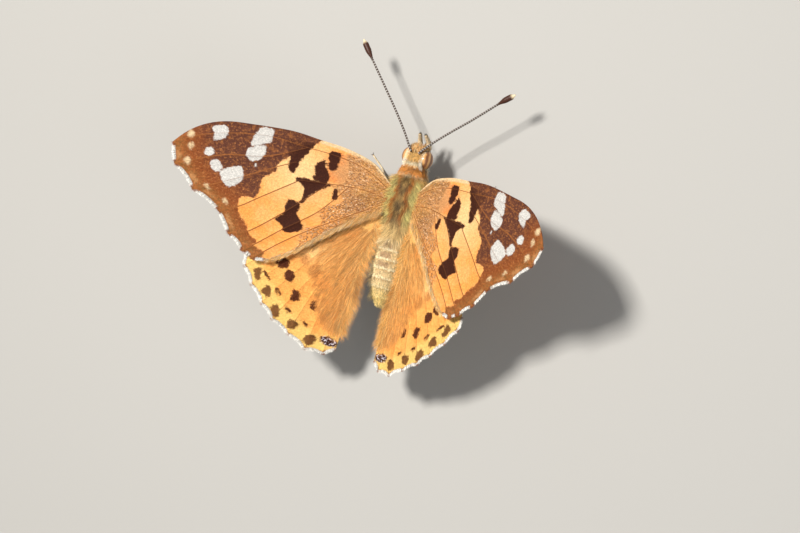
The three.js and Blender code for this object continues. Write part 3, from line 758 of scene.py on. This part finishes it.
def body_tint(y, angle):
    """The body's markings, shared by the skin and the coat. angle is 90 degrees at the back."""
    off = np.abs(np.degrees((angle - math.pi / 2 + math.pi) % (2 * math.pi) - math.pi))
    blotch = 0.5 + 0.25 * (np.sin(y * 3.1 + off * 0.19) + np.sin(y * 1.3 - off * 0.27))
    middle = lerp(smooth(blotch, 0.35, 0.75), (0.15, 0.085, 0.025), (0.46, 0.27, 0.075))
    edge = off + 5 * np.sin(y * 1.9)
    thorax = lerp(smooth(edge, 13, 19), middle, (0.44, 0.15, 0.025))
    thorax = lerp(smooth(edge, 25, 31) * smooth(y, -5.0, -4.2), thorax, GREEN_GOLD)
    thorax = lerp(smooth(y, 0.6, 2.4), thorax, (0.80, 0.56, 0.24))
    thorax = lerp(smooth(off, 42, 54), thorax, GOLD)
    thorax = lerp(smooth(off, 95, 125), thorax, (0.62, 0.50, 0.33))
    collar = lerp(smooth(off, 75, 110), (0.62, 0.25, 0.055), CREAM)
    collar = lerp(smooth(y, -5.25, -5.05), collar, CREAM)
    face = lerp(smooth(off, 65, 100), GOLD, CREAM)
    face = lerp(smooth(y, -7.1, -6.8) * smooth(y, -6.4, -6.6), face, (0.92, 0.80, 0.56))
    band = ((y - ABDOMEN_START) / SEGMENT_LENGTH) % 1.0
    back = lerp(smooth(np.abs(band - 0.9), 0.04, 0.14), (0.58, 0.37, 0.15), (0.80, 0.60, 0.31))
    back = lerp(smooth(np.abs(band - 0.72), 0.14, 0.05) * 0.85, back, (0.95, 0.84, 0.55))
    speck = smooth(off, 34, 16) * smooth(np.abs(band - 0.35), 0.34, 0.2) * smooth(y, 9.5, 7.5)
    back = lerp(0.8 * speck, back, (0.36, 0.20, 0.10))
    back = lerp(smooth(y, 10.0, 12.5) * 0.7, back, (0.84, 0.60, 0.18))
    abdomen = lerp(smooth(off, 95, 125), back, (0.86, 0.74, 0.52))
    tint = lerp(smooth(y, -5.15, -4.85), collar, thorax)
    tint = lerp(smooth(y, -6.25, -6.5), tint, face)
    return lerp(smooth(y, 3.0, 5.0), tint, abdomen)


def make_body():
    s = Shader("body_skin", 0.75, sheen=0.2)
    grain = s.noise(s.vector("root"), 7.0, 4)
    s.bump(grain, 0.5, 0.00008)
    material = s.color(s.scaled(s.vector("tint"), s.ramp(grain, 0.3, 0.7, 0.55, 0.95)))
    ys = np.linspace(STATIONS[0, 0], STATIONS[-1, 0], 260)
    angles = np.linspace(0, 2 * math.pi, 56, endpoint=False)
    rings = []
    for y in ys:
        p, normal, _ = skin_point(np.full(len(angles), y), angles)
        if y > ABDOMEN_START:
            band = ((y - ABDOMEN_START) / SEGMENT_LENGTH) % 1.0
            p = p - normal * 0.09 * math.exp(-((min(band, 1 - band) / 0.1) ** 2))
        rings.append(p)
    points, faces = loft(rings)
    y_all, a_all = np.repeat(ys, len(angles)), np.tile(angles, len(ys))
    tint = np.concatenate([body_tint(y_all, a_all), [CREAM, CREAM]])
    skin = mesh_piece("body_skin", points, faces, [material], "body_coat", tint=tint, root=points)
    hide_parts("head", "thorax", "abdomen")


def body_coat(name, slot, count, low, high, length, width, lift, spread=1.0, sector=(0, 180), splay=0.0,
              skip=None, lock_size=0.3, contrast=0.7):
    """Tufts over a stretch of the body, lying backward.

    lift is how far they stand off the skin, sector the degrees from the back's middle line where they grow,
    and splay how much they turn to the sides. contrast is how much darker the darkest locks are.
    """
    weights = np.interp(np.linspace(low, high, 400), STATIONS[:, 0], STATIONS[:, 2])
    y = rng.choice(np.linspace(low, high, 400), count, p=weights / weights.sum()) + rng.normal(0, 0.03, count)
    off = np.radians(rng.uniform(*sector, count)) * rng.choice([-1, 1], count)
    angle = math.pi / 2 + off
    if skip is not None:
        keep = ~skip(y, angle)
        y, angle = y[keep], angle[keep]
    y = np.clip(y, STATIONS[0, 0] + 0.03, STATIONS[-1, 0] - 0.03)
    root, normal, uv = skin_point(y, angle)
    outward = np.c_[np.sign(root[:, 0]), 0 * y, 0 * y]
    back = unit(np.array([0.0, 1.0, 0.0]) + splay * outward)
    lock = clump(y, angle * np.hypot(root[:, 0], root[:, 2]), lock_size)
    lean = (lock[:, None] - 0.5) * (normal * 0.5 + outward * 0.5)
    start = unit(normal * lift + back * (1 - lift) + lean + rng.normal(0, 0.10 * spread, root.shape))
    end = unit(back + normal * lift * 0.35 + lean + rng.normal(0, 0.16 * spread, root.shape))
    lengths = rng.uniform(0.65, 1.1, len(y)) * length * (0.75 + 0.5 * lock)
    widths = rng.uniform(0.7, 1.2, len(y)) * width
    tint = body_tint(y + 0.15 + rng.normal(0, 0.12, len(y)), angle + rng.normal(0, 0.05, len(y)))
    tint = tint * (1.2 - contrast * (1 - lock))[:, None]
    material = coat_material(name + "_coat")
    tufts(name, root, start, end, lengths, widths, tint, uv, material, slot, normal)


# Head
EYE = {"centre": (1.35, -7.7, 0.45), "radii": (0.86, 1.25, 1.3)}


def near_eye(y, angle):
    p, _, _ = skin_point(y, angle)
    d = (np.abs(p[:, 0]) - EYE["centre"][0], p[:, 1] - EYE["centre"][1], p[:, 2] - EYE["centre"][2])
    return sum((a / (r + 0.02)) ** 2 for a, r in zip(d, EYE["radii"])) < 1


def eye_material():
    s = Shader("compound_eye", 0.38, coat=0.25, specular=0.5)
    place = s.vector("root")
    facets = s.cells(place, 15.0)
    mottle = s.noise(s.stretched(place, (1.0, 0.6, 1.3)), 1.3, 3)
    bands = s.math("SINE", s.add(s.times(s.value("stripe"), 9.0), s.times(mottle, 4.0)))
    color = s.mix(s.ramp(bands, -0.8, 0.6), (0.22, 0.080, 0.026), (0.70, 0.36, 0.12))
    color = s.mix(s.ramp(facets, 0.25, 0.6, 0.0, 0.3), color, DARK)
    color = s.mix(s.ramp(s.value("rim"), 0.02, 0.12, 0.8, 0.0), color, CREAM)
    s.bump(facets, 0.5, 0.00003)
    return s.color(color)


def make_eyes():
    material = eye_material()
    theta = np.linspace(0.02, math.pi - 0.02, 48)
    phi = np.linspace(0, 2 * math.pi, 72, endpoint=False)
    rings = []
    for t in theta:
        ring = np.c_[np.full(len(phi), math.cos(t)), np.sin(t) * np.cos(phi), np.sin(t) * np.sin(phi)]
        rings.append(ring * EYE["radii"] + EYE["centre"])
    points, faces = loft(rings)
    local = (points - EYE["centre"]) / EYE["radii"]
    stripe = local[:, 2] * 0.8 - local[:, 0] * 0.5
    for name, side in SIDES:
        eye = mesh_piece(f"eye_{name}_globe", points, faces, [material], "eye", side,
                         root=points * (side, 1, 1), stripe=stripe, rim=local[:, 0] + 0.02)
        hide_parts(f"eye_{name}")


def make_eye_rims():
    """Pale scales where each eye meets the head, longest and whitest behind it."""
    material = coat_material("eye_rim_coat")
    count = 1500
    angle = rng.uniform(0, 2 * math.pi, count)
    behind = smooth(np.cos(angle), 0.0, 0.7)
    out = rng.uniform(-0.5, 0.08, count) - 0.1 * (1 - behind)
    reach = np.sqrt(1 - out**2)
    local = np.c_[out, reach * np.cos(angle), reach * np.sin(angle)]
    roots = local * (np.array(EYE["radii"]) * (1.0, 1.02, 1.02)) + EYE["centre"]
    normal = unit(local * (1, 1.1, 1.1) + (0, 0, 0.4))
    end = unit(np.c_[0.35 + 0 * out, reach * np.cos(angle) * 0.6 + 0.4, reach * np.sin(angle)])
    tint = lerp(rng.random(count) * 0.4 + 0.4 * (1 - behind), (0.92, 0.88, 0.78), GOLD)
    uv = np.c_[0.1 + 0.8 * angle / (2 * math.pi), 0.5 + out]
    length = rng.uniform(0.16, 0.28, count) * (1 + 1.5 * behind)
    for name, side in SIDES:
        width = rng.uniform(0.06, 0.10, count)
        tufts(f"eye_rim_{name}", roots, normal, end, length, width, tint, uv, material, "palp_coat",
              normal, side)


def make_face_hair():
    """The tuft of hair over the face, standing forward between the palps and the feelers."""
    count = 1900
    y = rng.uniform(-9.12, -8.2, count)
    angle = math.pi / 2 + np.radians(rng.uniform(-100, 100, count))
    root, normal, uv = skin_point(y, angle)
    ahead = np.array([0.0, -1.0, 0.35])
    start = unit(normal * 0.6 + ahead + rng.normal(0, 0.15, root.shape))
    end = unit(ahead + normal * 0.3 + rng.normal(0, 0.25, root.shape))
    tint = picked(GOLD, (0.34, 0.14, 0.045), CREAM, (0.70, 0.33, 0.10), shares=[0.3, 0.25, 0.2, 0.25])(count)
    tint = tint * (0.6 + 0.7 * clump(y, angle * 1.1, 0.22))[:, None]
    length, width = rng.uniform(0.5, 1.0, count), rng.uniform(0.04, 0.07, count)
    material = coat_material("face_hair_coat")
    tufts("face_hair", root, start, end, length, width, tint, uv, material, "body_coat", normal)


PALP = [(0.62, -9.3, -0.75), (0.66, -9.95, -0.45), (0.56, -10.5, 0.15), (0.46, -10.95, 0.75)]


def around(path, radii, count, ends):
    """Roots spread round a rod: their steps along it, their places, and the ways along and out of it."""
    at = rng.integers(ends, len(path) - ends, count)
    along = unit(np.gradient(path, axis=0))[at]
    outward = unit(np.cross(along, rng.normal(0, 1, (count, 3))))
    return at, path[at] + outward * radii[at][:, None] * 0.9, along, outward


def make_palps():
    skin = Shader("palp_skin", 0.8)
    skin_material = skin.color(skin.mix(skin.noise(skin.vector("root"), 5.0), TAN, CREAM))
    material = coat_material("palp_scales")
    path = catmull([(0.52, -8.85, -0.75), *PALP], 14)
    share = np.linspace(0, 1, len(path))
    radius = 0.23 * np.sqrt(1 - 0.8 * share)
    points, faces = sweep(path, radius, 12)
    count = 1400
    at, roots, along, outward = around(path, radius, count, 2)
    share = share[at]
    tint = lerp(rng.random(count) * 0.7, (0.90, 0.80, 0.60), GOLD)
    streak = smooth(outward[:, 1] * 0.5 - outward[:, 2] * 0.5 + rng.normal(0, 0.2, count), 0.2, 0.7)
    tint = lerp(streak * 0.8 * (1 - share), tint, BROWN)
    uv = np.c_[0.1 + 0.8 * share, 0.5 + 0.4 * outward[:, 0]]
    for name, side in SIDES:
        core = mesh_piece(f"palp_{name}_core", points, faces, [skin_material], "palp_coat", side, root=points)
        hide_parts(f"palp_{name}")
        length = rng.uniform(0.3, 0.6, count) * (1.3 - 0.5 * share)
        width = rng.uniform(0.04, 0.07, count)
        tufts(f"palp_{name}_scales", roots, along + outward * 0.5, along + outward * 0.2, length, width, tint,
              uv, material, "palp_coat", outward, side)


def make_tongue():
    s = Shader("proboscis", 0.35, coat=0.3)
    rings = s.math("SINE", s.times(s.value("along"), 420.0))
    material = s.color(s.mix(s.ramp(rings, -0.4, 0.4), (0.10, 0.045, 0.02), (0.26, 0.13, 0.05)))
    s.bump(rings, 0.4, 0.00002)
    middle_y, middle_z, inner, outer, turns = -9.55, -2.0, 0.32, 0.95, 1.35
    t = np.linspace(0, 1, 160)
    r = inner + (outer - inner) * t
    angle = math.pi / 2 - 2 * math.pi * turns * (1 - t)
    path = np.c_[0 * t, middle_y - r * np.cos(angle), middle_z + r * np.sin(angle)]
    lead = catmull([path[-1], (0, -9.1, -0.95), (0, -8.95, -0.75)], 8)[1:]
    path = np.concatenate([path, lead])
    share = np.linspace(0, 1, len(path))
    points, faces = sweep(path, 0.10 + 0.08 * share, 12)
    along = np.concatenate([np.repeat(share, 12), [0, 1]])
    tongue = mesh_piece("proboscis_coil", points, faces, [material], "horn", along=along)
    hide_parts("proboscis")


ANTENNA = [(0.62, -8.3, 1.55), (0.8, -8.6, 1.95), (2.35, -10.5, 1.75), (4.5, -12.8, 1.6), (6.8, -15.1, 1.65),
           (10.3, -18.7, 1.9), (12.1, -20.5, 2.1)]
ANTENNA_REACH = 1.1  # the left one is carried further forward than the right one
ANTENNA_SEGMENTS = 46


def make_antennae():
    s = Shader("antenna", 0.45)
    segment = s.math("FRACT", s.times(s.value("along"), ANTENNA_SEGMENTS))
    white_ring = s.times(s.ramp(segment, 0.0, 0.12), s.ramp(segment, 0.22, 0.36, 0.85, 0.0))
    white_ring = s.times(white_ring, s.ramp(s.value("along"), 0.80, 0.84, 0.9, 0.0))
    color = s.mix(white_ring, (0.050, 0.030, 0.022), WHITE)
    club = s.ramp(s.value("along"), 0.82, 0.86)
    color = s.mix(club, color, (0.055, 0.018, 0.010))
    color = s.mix(s.ramp(s.value("along"), 0.955, 0.985), color, (0.80, 0.66, 0.44))
    s.bump(segment, 0.5, 0.00003)
    material = s.color(color)
    last = len(ANTENNA) - 1
    for name, side in SIDES:
        path = catmull([(side * x, y - side * ANTENNA_REACH * (i / last) ** 2, z)
                        for i, (x, y, z) in enumerate(ANTENNA)], 60)
        share = run_length(path)
        share = share / share[-1]
        step = (share * ANTENNA_SEGMENTS) % 1.0
        radius = 0.14 + 0.012 * np.sin(step * math.pi) + 0.27 * smooth(share, 0.82, 0.91)
        radius *= 1 - 0.75 * smooth(share, 0.955, 1.0)
        points, faces = sweep(path, radius, 14)
        along = np.concatenate([np.repeat(share, 14), [0, 1]])
        piece = mesh_piece(f"antenna_{name}_shaft", points, faces, [material], "antenna", along=along)
        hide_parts(f"antenna_{name}")


# Legs: hip, knee, ankle and the toe's place on the floor
LEGS = {
    "midleg": ((1.75, -1.6, -1.75), (5.2, -3.3, -0.6), (7, -4.6, -5.35), (9.6, -6.6)),
    "hindleg": ((1.7, 1.2, -1.65), (5, 4.3, -0.9), (6.6, 7, -5.35), (8, 10.9)),
}
FORELEG = [(1.35, -4, -1.85), (1.9, -5, -2.95), (2, -5.65, -3.6), (1.75, -4.9, -4.15), (1.4, -3.1, -4.4)]


def leg_material():
    s = Shader("leg_scales", 0.7, sheen=0.2)
    grain = s.noise(s.vector("root"), 4.0, 4)
    color = s.mix(s.ramp(grain, 0.35, 0.65), (0.46, 0.32, 0.16), (0.78, 0.68, 0.48))
    s.bump(grain, 0.4, 0.00004)
    return s.color(color)


def limb(path, radii, name, nodes, material, side):
    points, faces = sweep(path, radii, 12)
    piece = mesh_piece(name, points, faces, [material], "leg", side, root=points)
    if nodes:
        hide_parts(*nodes)


def limb_hair(name, path, radii, count, material, side, length, tint=CREAM):
    at, roots, along, outward = around(path, radii, count, 1)
    tints = lerp(rng.random(count) * 0.6, tint, TAN)
    uv = np.c_[0.05 + 0.9 * at / len(path), 0.5 + 0.4 * outward[:, 0]]
    lengths = rng.uniform(0.6, 1.1, count) * length
    widths = rng.uniform(0.035, 0.06, count)
    tufts(name, roots, along + outward * 0.5, along + outward * 0.2, lengths, widths, tints, uv, material,
          "leg", outward, side)


def make_legs():
    material = leg_material()
    hair = coat_material("leg_hair")
    dark = Shader("claw", 0.3, coat=0.3).color((0.05, 0.025, 0.015))
    floor = -AXIS_HEIGHT
    for leg, (hip, knee, ankle, toe) in LEGS.items():
        hip, knee, ankle, toe = (np.array(p) for p in (hip, knee, ankle, (*toe, floor + 0.12)))
        out = unit(np.array([hip[0], 0, hip[2]]))
        femur = catmull([hip, hip + out * 0.8, knee * 0.5 + hip * 0.5 + out * 0.15, knee], 12)
        share = np.linspace(0, 1, len(femur))
        femur_radius = 0.20 + 0.13 * np.sin(math.pi * share) ** 0.7
        tibia = knee + (ankle - knee) * np.linspace(0, 1, 24)[:, None]
        share = np.linspace(0, 1, len(tibia))
        tibia_radius = 0.17 + 0.06 * np.sin(math.pi * share) ** 0.6
        heel = np.array([ankle[0], ankle[1], floor + 0.2])
        foot = catmull([ankle, heel * 0.7 + toe * 0.3 + (0, 0, 0.03), toe], 30)
        foot[:, 2] = np.maximum(foot[:, 2], floor + 0.15)
        share = np.linspace(0, 1, len(foot))
        joints = np.abs(np.sin(math.pi * 5 * share)) ** 0.4
        foot_radius = (0.10 + 0.05 * joints) * (1 - 0.25 * share)
        for name, side in SIDES:
            stem = f"{leg}_{name}"
            limb(femur, femur_radius, stem + "_thigh", [stem + "_femur"], material, side)
            limb(tibia, tibia_radius, stem + "_shin", [stem + "_tibia"], material, side)
            limb(foot, foot_radius, stem + "_foot", [stem + "_tarsus"], material, side)
            limb_hair(stem + "_thigh_hair", femur, femur_radius, 420, hair, side, 0.4)
            limb_hair(stem + "_shin_hair", tibia, tibia_radius, 300, hair, side, 0.28)
            along = unit(foot[-1] - foot[-8])
            across = np.cross(along, (0, 0, 1))
            for n, turn in enumerate((-1, 1)):
                claw = catmull([toe, toe + along * 0.2 + across * 0.14 * turn + (0, 0, 0.06),
                                toe + along * 0.34 + across * 0.2 * turn - (0, 0, 0.06)], 6)
                limb(claw, np.linspace(0.05, 0.008, len(claw)), f"{stem}_claw_{n}", [], dark, side)
    path = catmull(FORELEG, 12)
    radius = np.linspace(0.24, 0.13, len(path))
    for name, side in SIDES:
        limb(path, radius, f"foreleg_{name}_brush", [f"foreleg_{name}"], material, side)
        limb_hair(f"foreleg_{name}_hair", path, radius, 700, hair, side, 0.6, WHITE)


# Hair on the wings and fringes along their margins
def wing_hair(name, wing, plan, away, length, width, tint, lift, loose):
    """Hairs on the wings' upper faces from plan roots, each lying along away, its direction in the plan.

    lift is how far they stand off the wing, and loose how much their directions vary.
    """
    count = len(plan)
    x, y = plan.T
    run, normal = lying(wing, plan, away)
    root = np.c_[x, y, wing["surface"](x, y) + MEMBRANE]
    lock = clump(x, y, 0.35)[:, None]
    across = np.cross(normal, run) * (lock - 0.5) * 0.3
    start = unit(run + normal * lift + across + rng.normal(0, loose, root.shape))
    end = unit(run + normal * lift * 0.2 + across + rng.normal(0, loose, root.shape))
    lengths, widths = rng.uniform(0.6, 1.15, count) * length, rng.uniform(0.6, 1.2, count) * width
    tint = tint * (0.72 + 0.5 * lock)
    uv = np.c_[0.02 + 0.95 * np.clip(x, 0, 29) / 29, 0.1 + 0.85 * (y + 7) / 30]
    material = coat_material(name + "_coat", 0.5)
    for side_name, side in SIDES:
        tufts(f"{name}_{side_name}", root, start, end, lengths, widths, tint, uv, material, "wing",
              normal, side)


def lying(wing, plan, away):
    """Unit directions that follow a wing's surface along away, and the surface's normals."""
    surface = wing["surface"]
    x, y = plan.T
    step = 0.2
    slope_x = (surface(x + step, y) - surface(x - step, y)) / (2 * step)
    slope_y = (surface(x, y + step) - surface(x, y - step)) / (2 * step)
    away = unit(away)
    run = unit(np.c_[away[:, 0], away[:, 1], away[:, 0] * slope_x + away[:, 1] * slope_y])
    normal = unit(np.c_[-slope_x, -slope_y, np.ones(len(x))])
    return run, normal


def inner_edge(y):
    """How far from the body's middle the hindwing's inner edge is at y."""
    x, at = np.array(HINDWING["stems"]["inner"]).T
    return np.interp(y, at, x)


def picked(*tints, shares):
    """A chooser of one of several tints for each of a number of tufts."""
    def choose(count):
        return np.array(tints)[rng.choice(len(tints), count, p=shares)]
    return choose


def make_wing_hair():
    """Golden hair over the hindwing's inner third, along its inner edge, and over the forewing's base."""
    golden = picked((0.86, 0.38, 0.08), (0.95, 0.58, 0.19), (0.80, 0.50, 0.20), (0.50, 0.20, 0.05),
                    shares=[0.4, 0.27, 0.15, 0.18])
    count = 4800
    y = 3.6 + 14.6 * rng.random(count) ** 1.15
    width = np.interp(y, [3.6, 7, 12, 16, 18.2], [1.8, 4.4, 4.5, 3.2, 1.6])
    share = rng.random(count) ** 1.8
    plan = np.c_[inner_edge(y) + 0.1 + 1.15 * width * share, y]
    tint = lerp(0.75 * share, golden(count), ORANGE)
    wing_hair("hindwing_hair", HINDWING, plan, plan - (1.2, 0.5), 2.0 - 0.7 * share, 0.036, tint, 0.1, 0.09)
    count = 1200
    rear_steps = 200
    rear_edge = spaced(FOREWING["stems"]["inner"], rear_steps)
    plan = rear_edge[rng.integers(5, 130, count)] + rng.normal(0, 0.12, (count, 2))
    away = plan * (0.4, 1.0) + (0, 1)
    wing_hair("overlap_hair", HINDWING, plan + (0, 0.25), away, 1.2, 0.045, golden(count), 0.35, 0.12)
    count = 3000
    y = 2.6 + 15.5 * rng.random(count)
    plan = np.c_[inner_edge(np.maximum(y, 3.7)) + 0.6 * rng.random(count), y]
    away = np.c_[rng.uniform(-1.5, -0.1, count), np.ones(count)]
    # Between y 8.5 and 14 the inner-edge hair turns darker brown beside the abdomen: painted shade of the
    # fold between the hindwing and the abdomen.
    tint = lerp(smooth(y, 8.5, 10.5) * smooth(y, 14, 12.5) * 0.5, golden(count), (0.34, 0.13, 0.035))
    wing_hair("inner_edge_hair", HINDWING, plan, away, 1.7, 0.05, tint, 0.1, 0.12)
    plan = clear_of_marks(fore_roots(9000, 10.5))
    speckled = picked(TAN, (0.86, 0.46, 0.16), BROWN, (0.96, 0.70, 0.45), OUTER_BROWN,
                      shares=[0.28, 0.15, 0.29, 0.12, 0.16])
    wing_hair("forewing_scales", FOREWING, plan, plan - (0, -3), 0.2, 0.09, speckled(len(plan)), 0.25, 0.08)
    plan = clear_of_marks(fore_roots(2400, 7.5))
    wing_hair("forewing_hair", FOREWING, plan, plan - (0, -3), 0.95, 0.04, golden(len(plan)), 0.16, 0.12)
    count = 2600
    share = rng.random(count) ** 1.4
    plan = rear_edge[(share * rear_steps).astype(int)] + rng.normal(0, 0.15, (count, 2))
    away = np.c_[1.0 + 0 * share, 2.4 - 1.2 * share]
    downy = picked(CREAM, GOLD, TAN, (0.86, 0.42, 0.10), shares=[0.25, 0.35, 0.2, 0.2])
    wing_hair("forewing_edge_hair", FOREWING, plan, away, 1.5 - 1.0 * share, 0.05, downy(count), 0.02, 0.12)


def fore_roots(count, far):
    """Plan roots over the forewing's base, dense near the body."""
    x = 1.6 + (far - 1.6) * rng.random(count) ** 1.1
    low = np.interp(x, [1.6, 2.3, 4.6, 7.9, 11], [-3.0, -3.2, -5.1, -6.0, -6.2])
    high = np.interp(x, [1.6, 2.3, 4, 6.4, 8.6, 10.6], [0.3, 0.5, 2.0, 4.4, 6.9, 8.9])
    plan = np.c_[x, low + (high - low) * rng.random(count)]
    reach = x + 0.8 * np.sin(plan[:, 1] * 1.7)
    limit = np.interp(plan[:, 1], [-6, -1, 0, 3, 9], [far - 2.6, far - 2.6, far - 3.2, far - 2.0, far + 1])
    return plan[reach < limit]


def clear_of_marks(plan):
    """The roots that leave the forewing's dark marks and the orange round them free."""
    return plan[np.minimum(marks(plan, FORE_DARK), marks(plan, FORE_DEEP)) > 0.2]


def make_fringe(kind, wing, margin, length):
    """Short scales along the outer margin, white between the veins and brown at their ends."""
    count = 1500
    along = run_length(margin)
    at = rng.uniform(0, along[-1], count)
    p, ahead = (np.stack([np.interp(at + s, along, margin[:, k]) for k in (0, 1)], 1) for s in (0, 0.05))
    tangent = unit(ahead - p + 1e-9)
    outward = np.c_[tangent[:, 1], -tangent[:, 0]]
    outward *= np.sign(np.sum(outward * (p - margin.mean(0) * 0.6), 1))[:, None]
    vein_gap = np.min(np.abs(at[:, None] - along[None, ::MARGIN_STEPS]), 1)
    p = p - outward * rng.uniform(0.0, 0.25, (count, 1))
    root = np.c_[p, wing["surface"](p[:, 0], p[:, 1]) + rng.uniform(-0.06, 0.08, count)]
    run, normal = lying(wing, p, outward)
    gap = 0.5 if kind == "forewing" else 0.2
    white = smooth(vein_gap + rng.normal(0, 0.08, count), gap - 0.12, gap + 0.12)
    tints = lerp(white, RED_BROWN, (0.90, 0.88, 0.82))
    uv = np.c_[0.02 + 0.95 * at / along[-1], rng.uniform(0.4, 0.6, count)]
    material = coat_material(kind + "_fringe")
    start = run + rng.normal(0, 0.1, root.shape)
    end = run + rng.normal(0, 0.16, root.shape)
    lengths, widths = rng.uniform(0.6, 1.0, count) * length, rng.uniform(0.05, 0.1, count)
    for name, side in SIDES:
        tufts(f"{kind}_{name}_fringe", root, start, end, lengths, widths, tints, uv, material, "wing",
              normal, side)


# The butterfly
fore_margin = make_wing("forewing", FOREWING, forewing_upper(), forewing_under())
hind_margin = make_wing("hindwing", HINDWING, hindwing_upper(), hindwing_under())
make_fringe("forewing", FOREWING, fore_margin, 0.34)
make_fringe("hindwing", HINDWING, hind_margin, 0.36)
make_wing_hair()
make_body()
body_coat("thorax_hair", "body_coat", 13000, -5.3, 3.6, 0.95, 0.06, 0.42, spread=1.7)
body_coat("shoulder_hair", "body_coat", 3200, -4.9, 3.4, 1.7, 0.05, 0.4, sector=(32, 85), splay=0.9)
body_coat("waist_hair", "body_coat", 1800, 1.0, 4.6, 1.7, 0.05, 0.35, sector=(0, 80), splay=0.15)
body_coat("head_hair", "body_coat", 5600, -9.0, -5.1, 0.78, 0.05, 0.66, spread=2.2, skip=near_eye)
body_coat("collar_hair", "body_coat", 1500, -6.2, -5.1, 0.75, 0.08, 0.5, sector=(0, 110), splay=0.2)
body_coat("abdomen_scales", "abdomen_coat", 14000, 3.2, 13.6, 0.28, 0.10, 0.15, lock_size=0.2, contrast=0.25)
body_coat("abdomen_hair", "abdomen_coat", 2000, 3.0, 12.5, 1.1, 0.045, 0.35, sector=(45, 120), splay=0.25)
make_face_hair()
make_eyes()
make_eye_rims()
make_palps()
make_tongue()
make_antennae()
make_legs()


# Floor, light and camera
def make_stage():
    mesh = bpy.data.meshes.new("floor")
    mesh.from_pydata([(-20, -20, 0), (20, -20, 0), (20, 20, 0), (-20, 20, 0)], [], [(0, 1, 2, 3)])
    floor = bpy.data.objects.new("floor", mesh)
    bpy.context.collection.objects.link(floor)
    shader = Shader("floor", 0.9, specular=0.1)
    mesh.materials.append(shader.color((0.42, 0.415, 0.40)))
    world = bpy.data.worlds.new("world")
    bpy.context.scene.world = world
    world.use_nodes = True
    world.node_tree.nodes["Background"].inputs[0].default_value = (1.0, 0.98, 0.95, 1)
    world.node_tree.nodes["Background"].inputs[1].default_value = 0.24
    for name, place, size, power, color in (
        ("key", (0.06, -0.07, 0.36), 0.05, 1.95, (1.0, 0.96, 0.90)),
        ("fill", (-0.26, 0.08, 0.22), 0.30, 0.4, (0.95, 0.97, 1.0)),
    ):
        light = bpy.data.lights.new(name, "AREA")
        light.size = size
        light.energy = power
        light.color = color
        lamp = bpy.data.objects.new(name, light)
        lamp.location = place
        lamp.rotation_euler = (-Vector(place)).to_track_quat("-Z", "Y").to_euler()
        bpy.context.collection.objects.link(lamp)


# The photo's camera: off the animal's vertical to its right, and rolled
CAMERA_TILT = math.radians(24)
CAMERA_ROLL = math.radians(16)
CAMERA_DISTANCE = 350.0
PIXELS_PER_MM = 7.3
THORAX_TOP = (0.0, 0.0, 2.6)
THORAX_TOP_PIXEL = (396.0, 210.0)
PICTURE = (800, 533)
SENSOR_WIDTH = 36


def make_camera():
    toward = Vector((-math.sin(CAMERA_TILT), 0, math.cos(CAMERA_TILT)))
    ahead = Vector((0, -1, 0))
    across = ahead.cross(toward)
    right = math.cos(CAMERA_ROLL) * across + math.sin(CAMERA_ROLL) * ahead
    up = -math.sin(CAMERA_ROLL) * across + math.cos(CAMERA_ROLL) * ahead
    focal = PIXELS_PER_MM * CAMERA_DISTANCE
    camera_data = bpy.data.cameras.new("camera")
    camera_data.sensor_width = SENSOR_WIDTH
    camera_data.lens = focal * SENSOR_WIDTH / PICTURE[0]
    camera_data.shift_x = (PICTURE[0] / 2 - THORAX_TOP_PIXEL[0]) / PICTURE[0]
    camera_data.shift_y = -(PICTURE[1] / 2 - THORAX_TOP_PIXEL[1]) / PICTURE[0]
    camera_data.clip_start = 0.01
    camera = bpy.data.objects.new("camera", camera_data)
    place = Vector(to_frame(THORAX_TOP)) + toward * CAMERA_DISTANCE * MM
    rotation = Matrix((right, up, toward)).transposed()
    camera.matrix_world = Matrix.Translation(place) @ rotation.to_4x4()
    bpy.context.collection.objects.link(camera)
    bpy.context.scene.camera = camera


make_stage()
make_camera()
bpy.context.scene.view_settings.view_transform = "Standard"
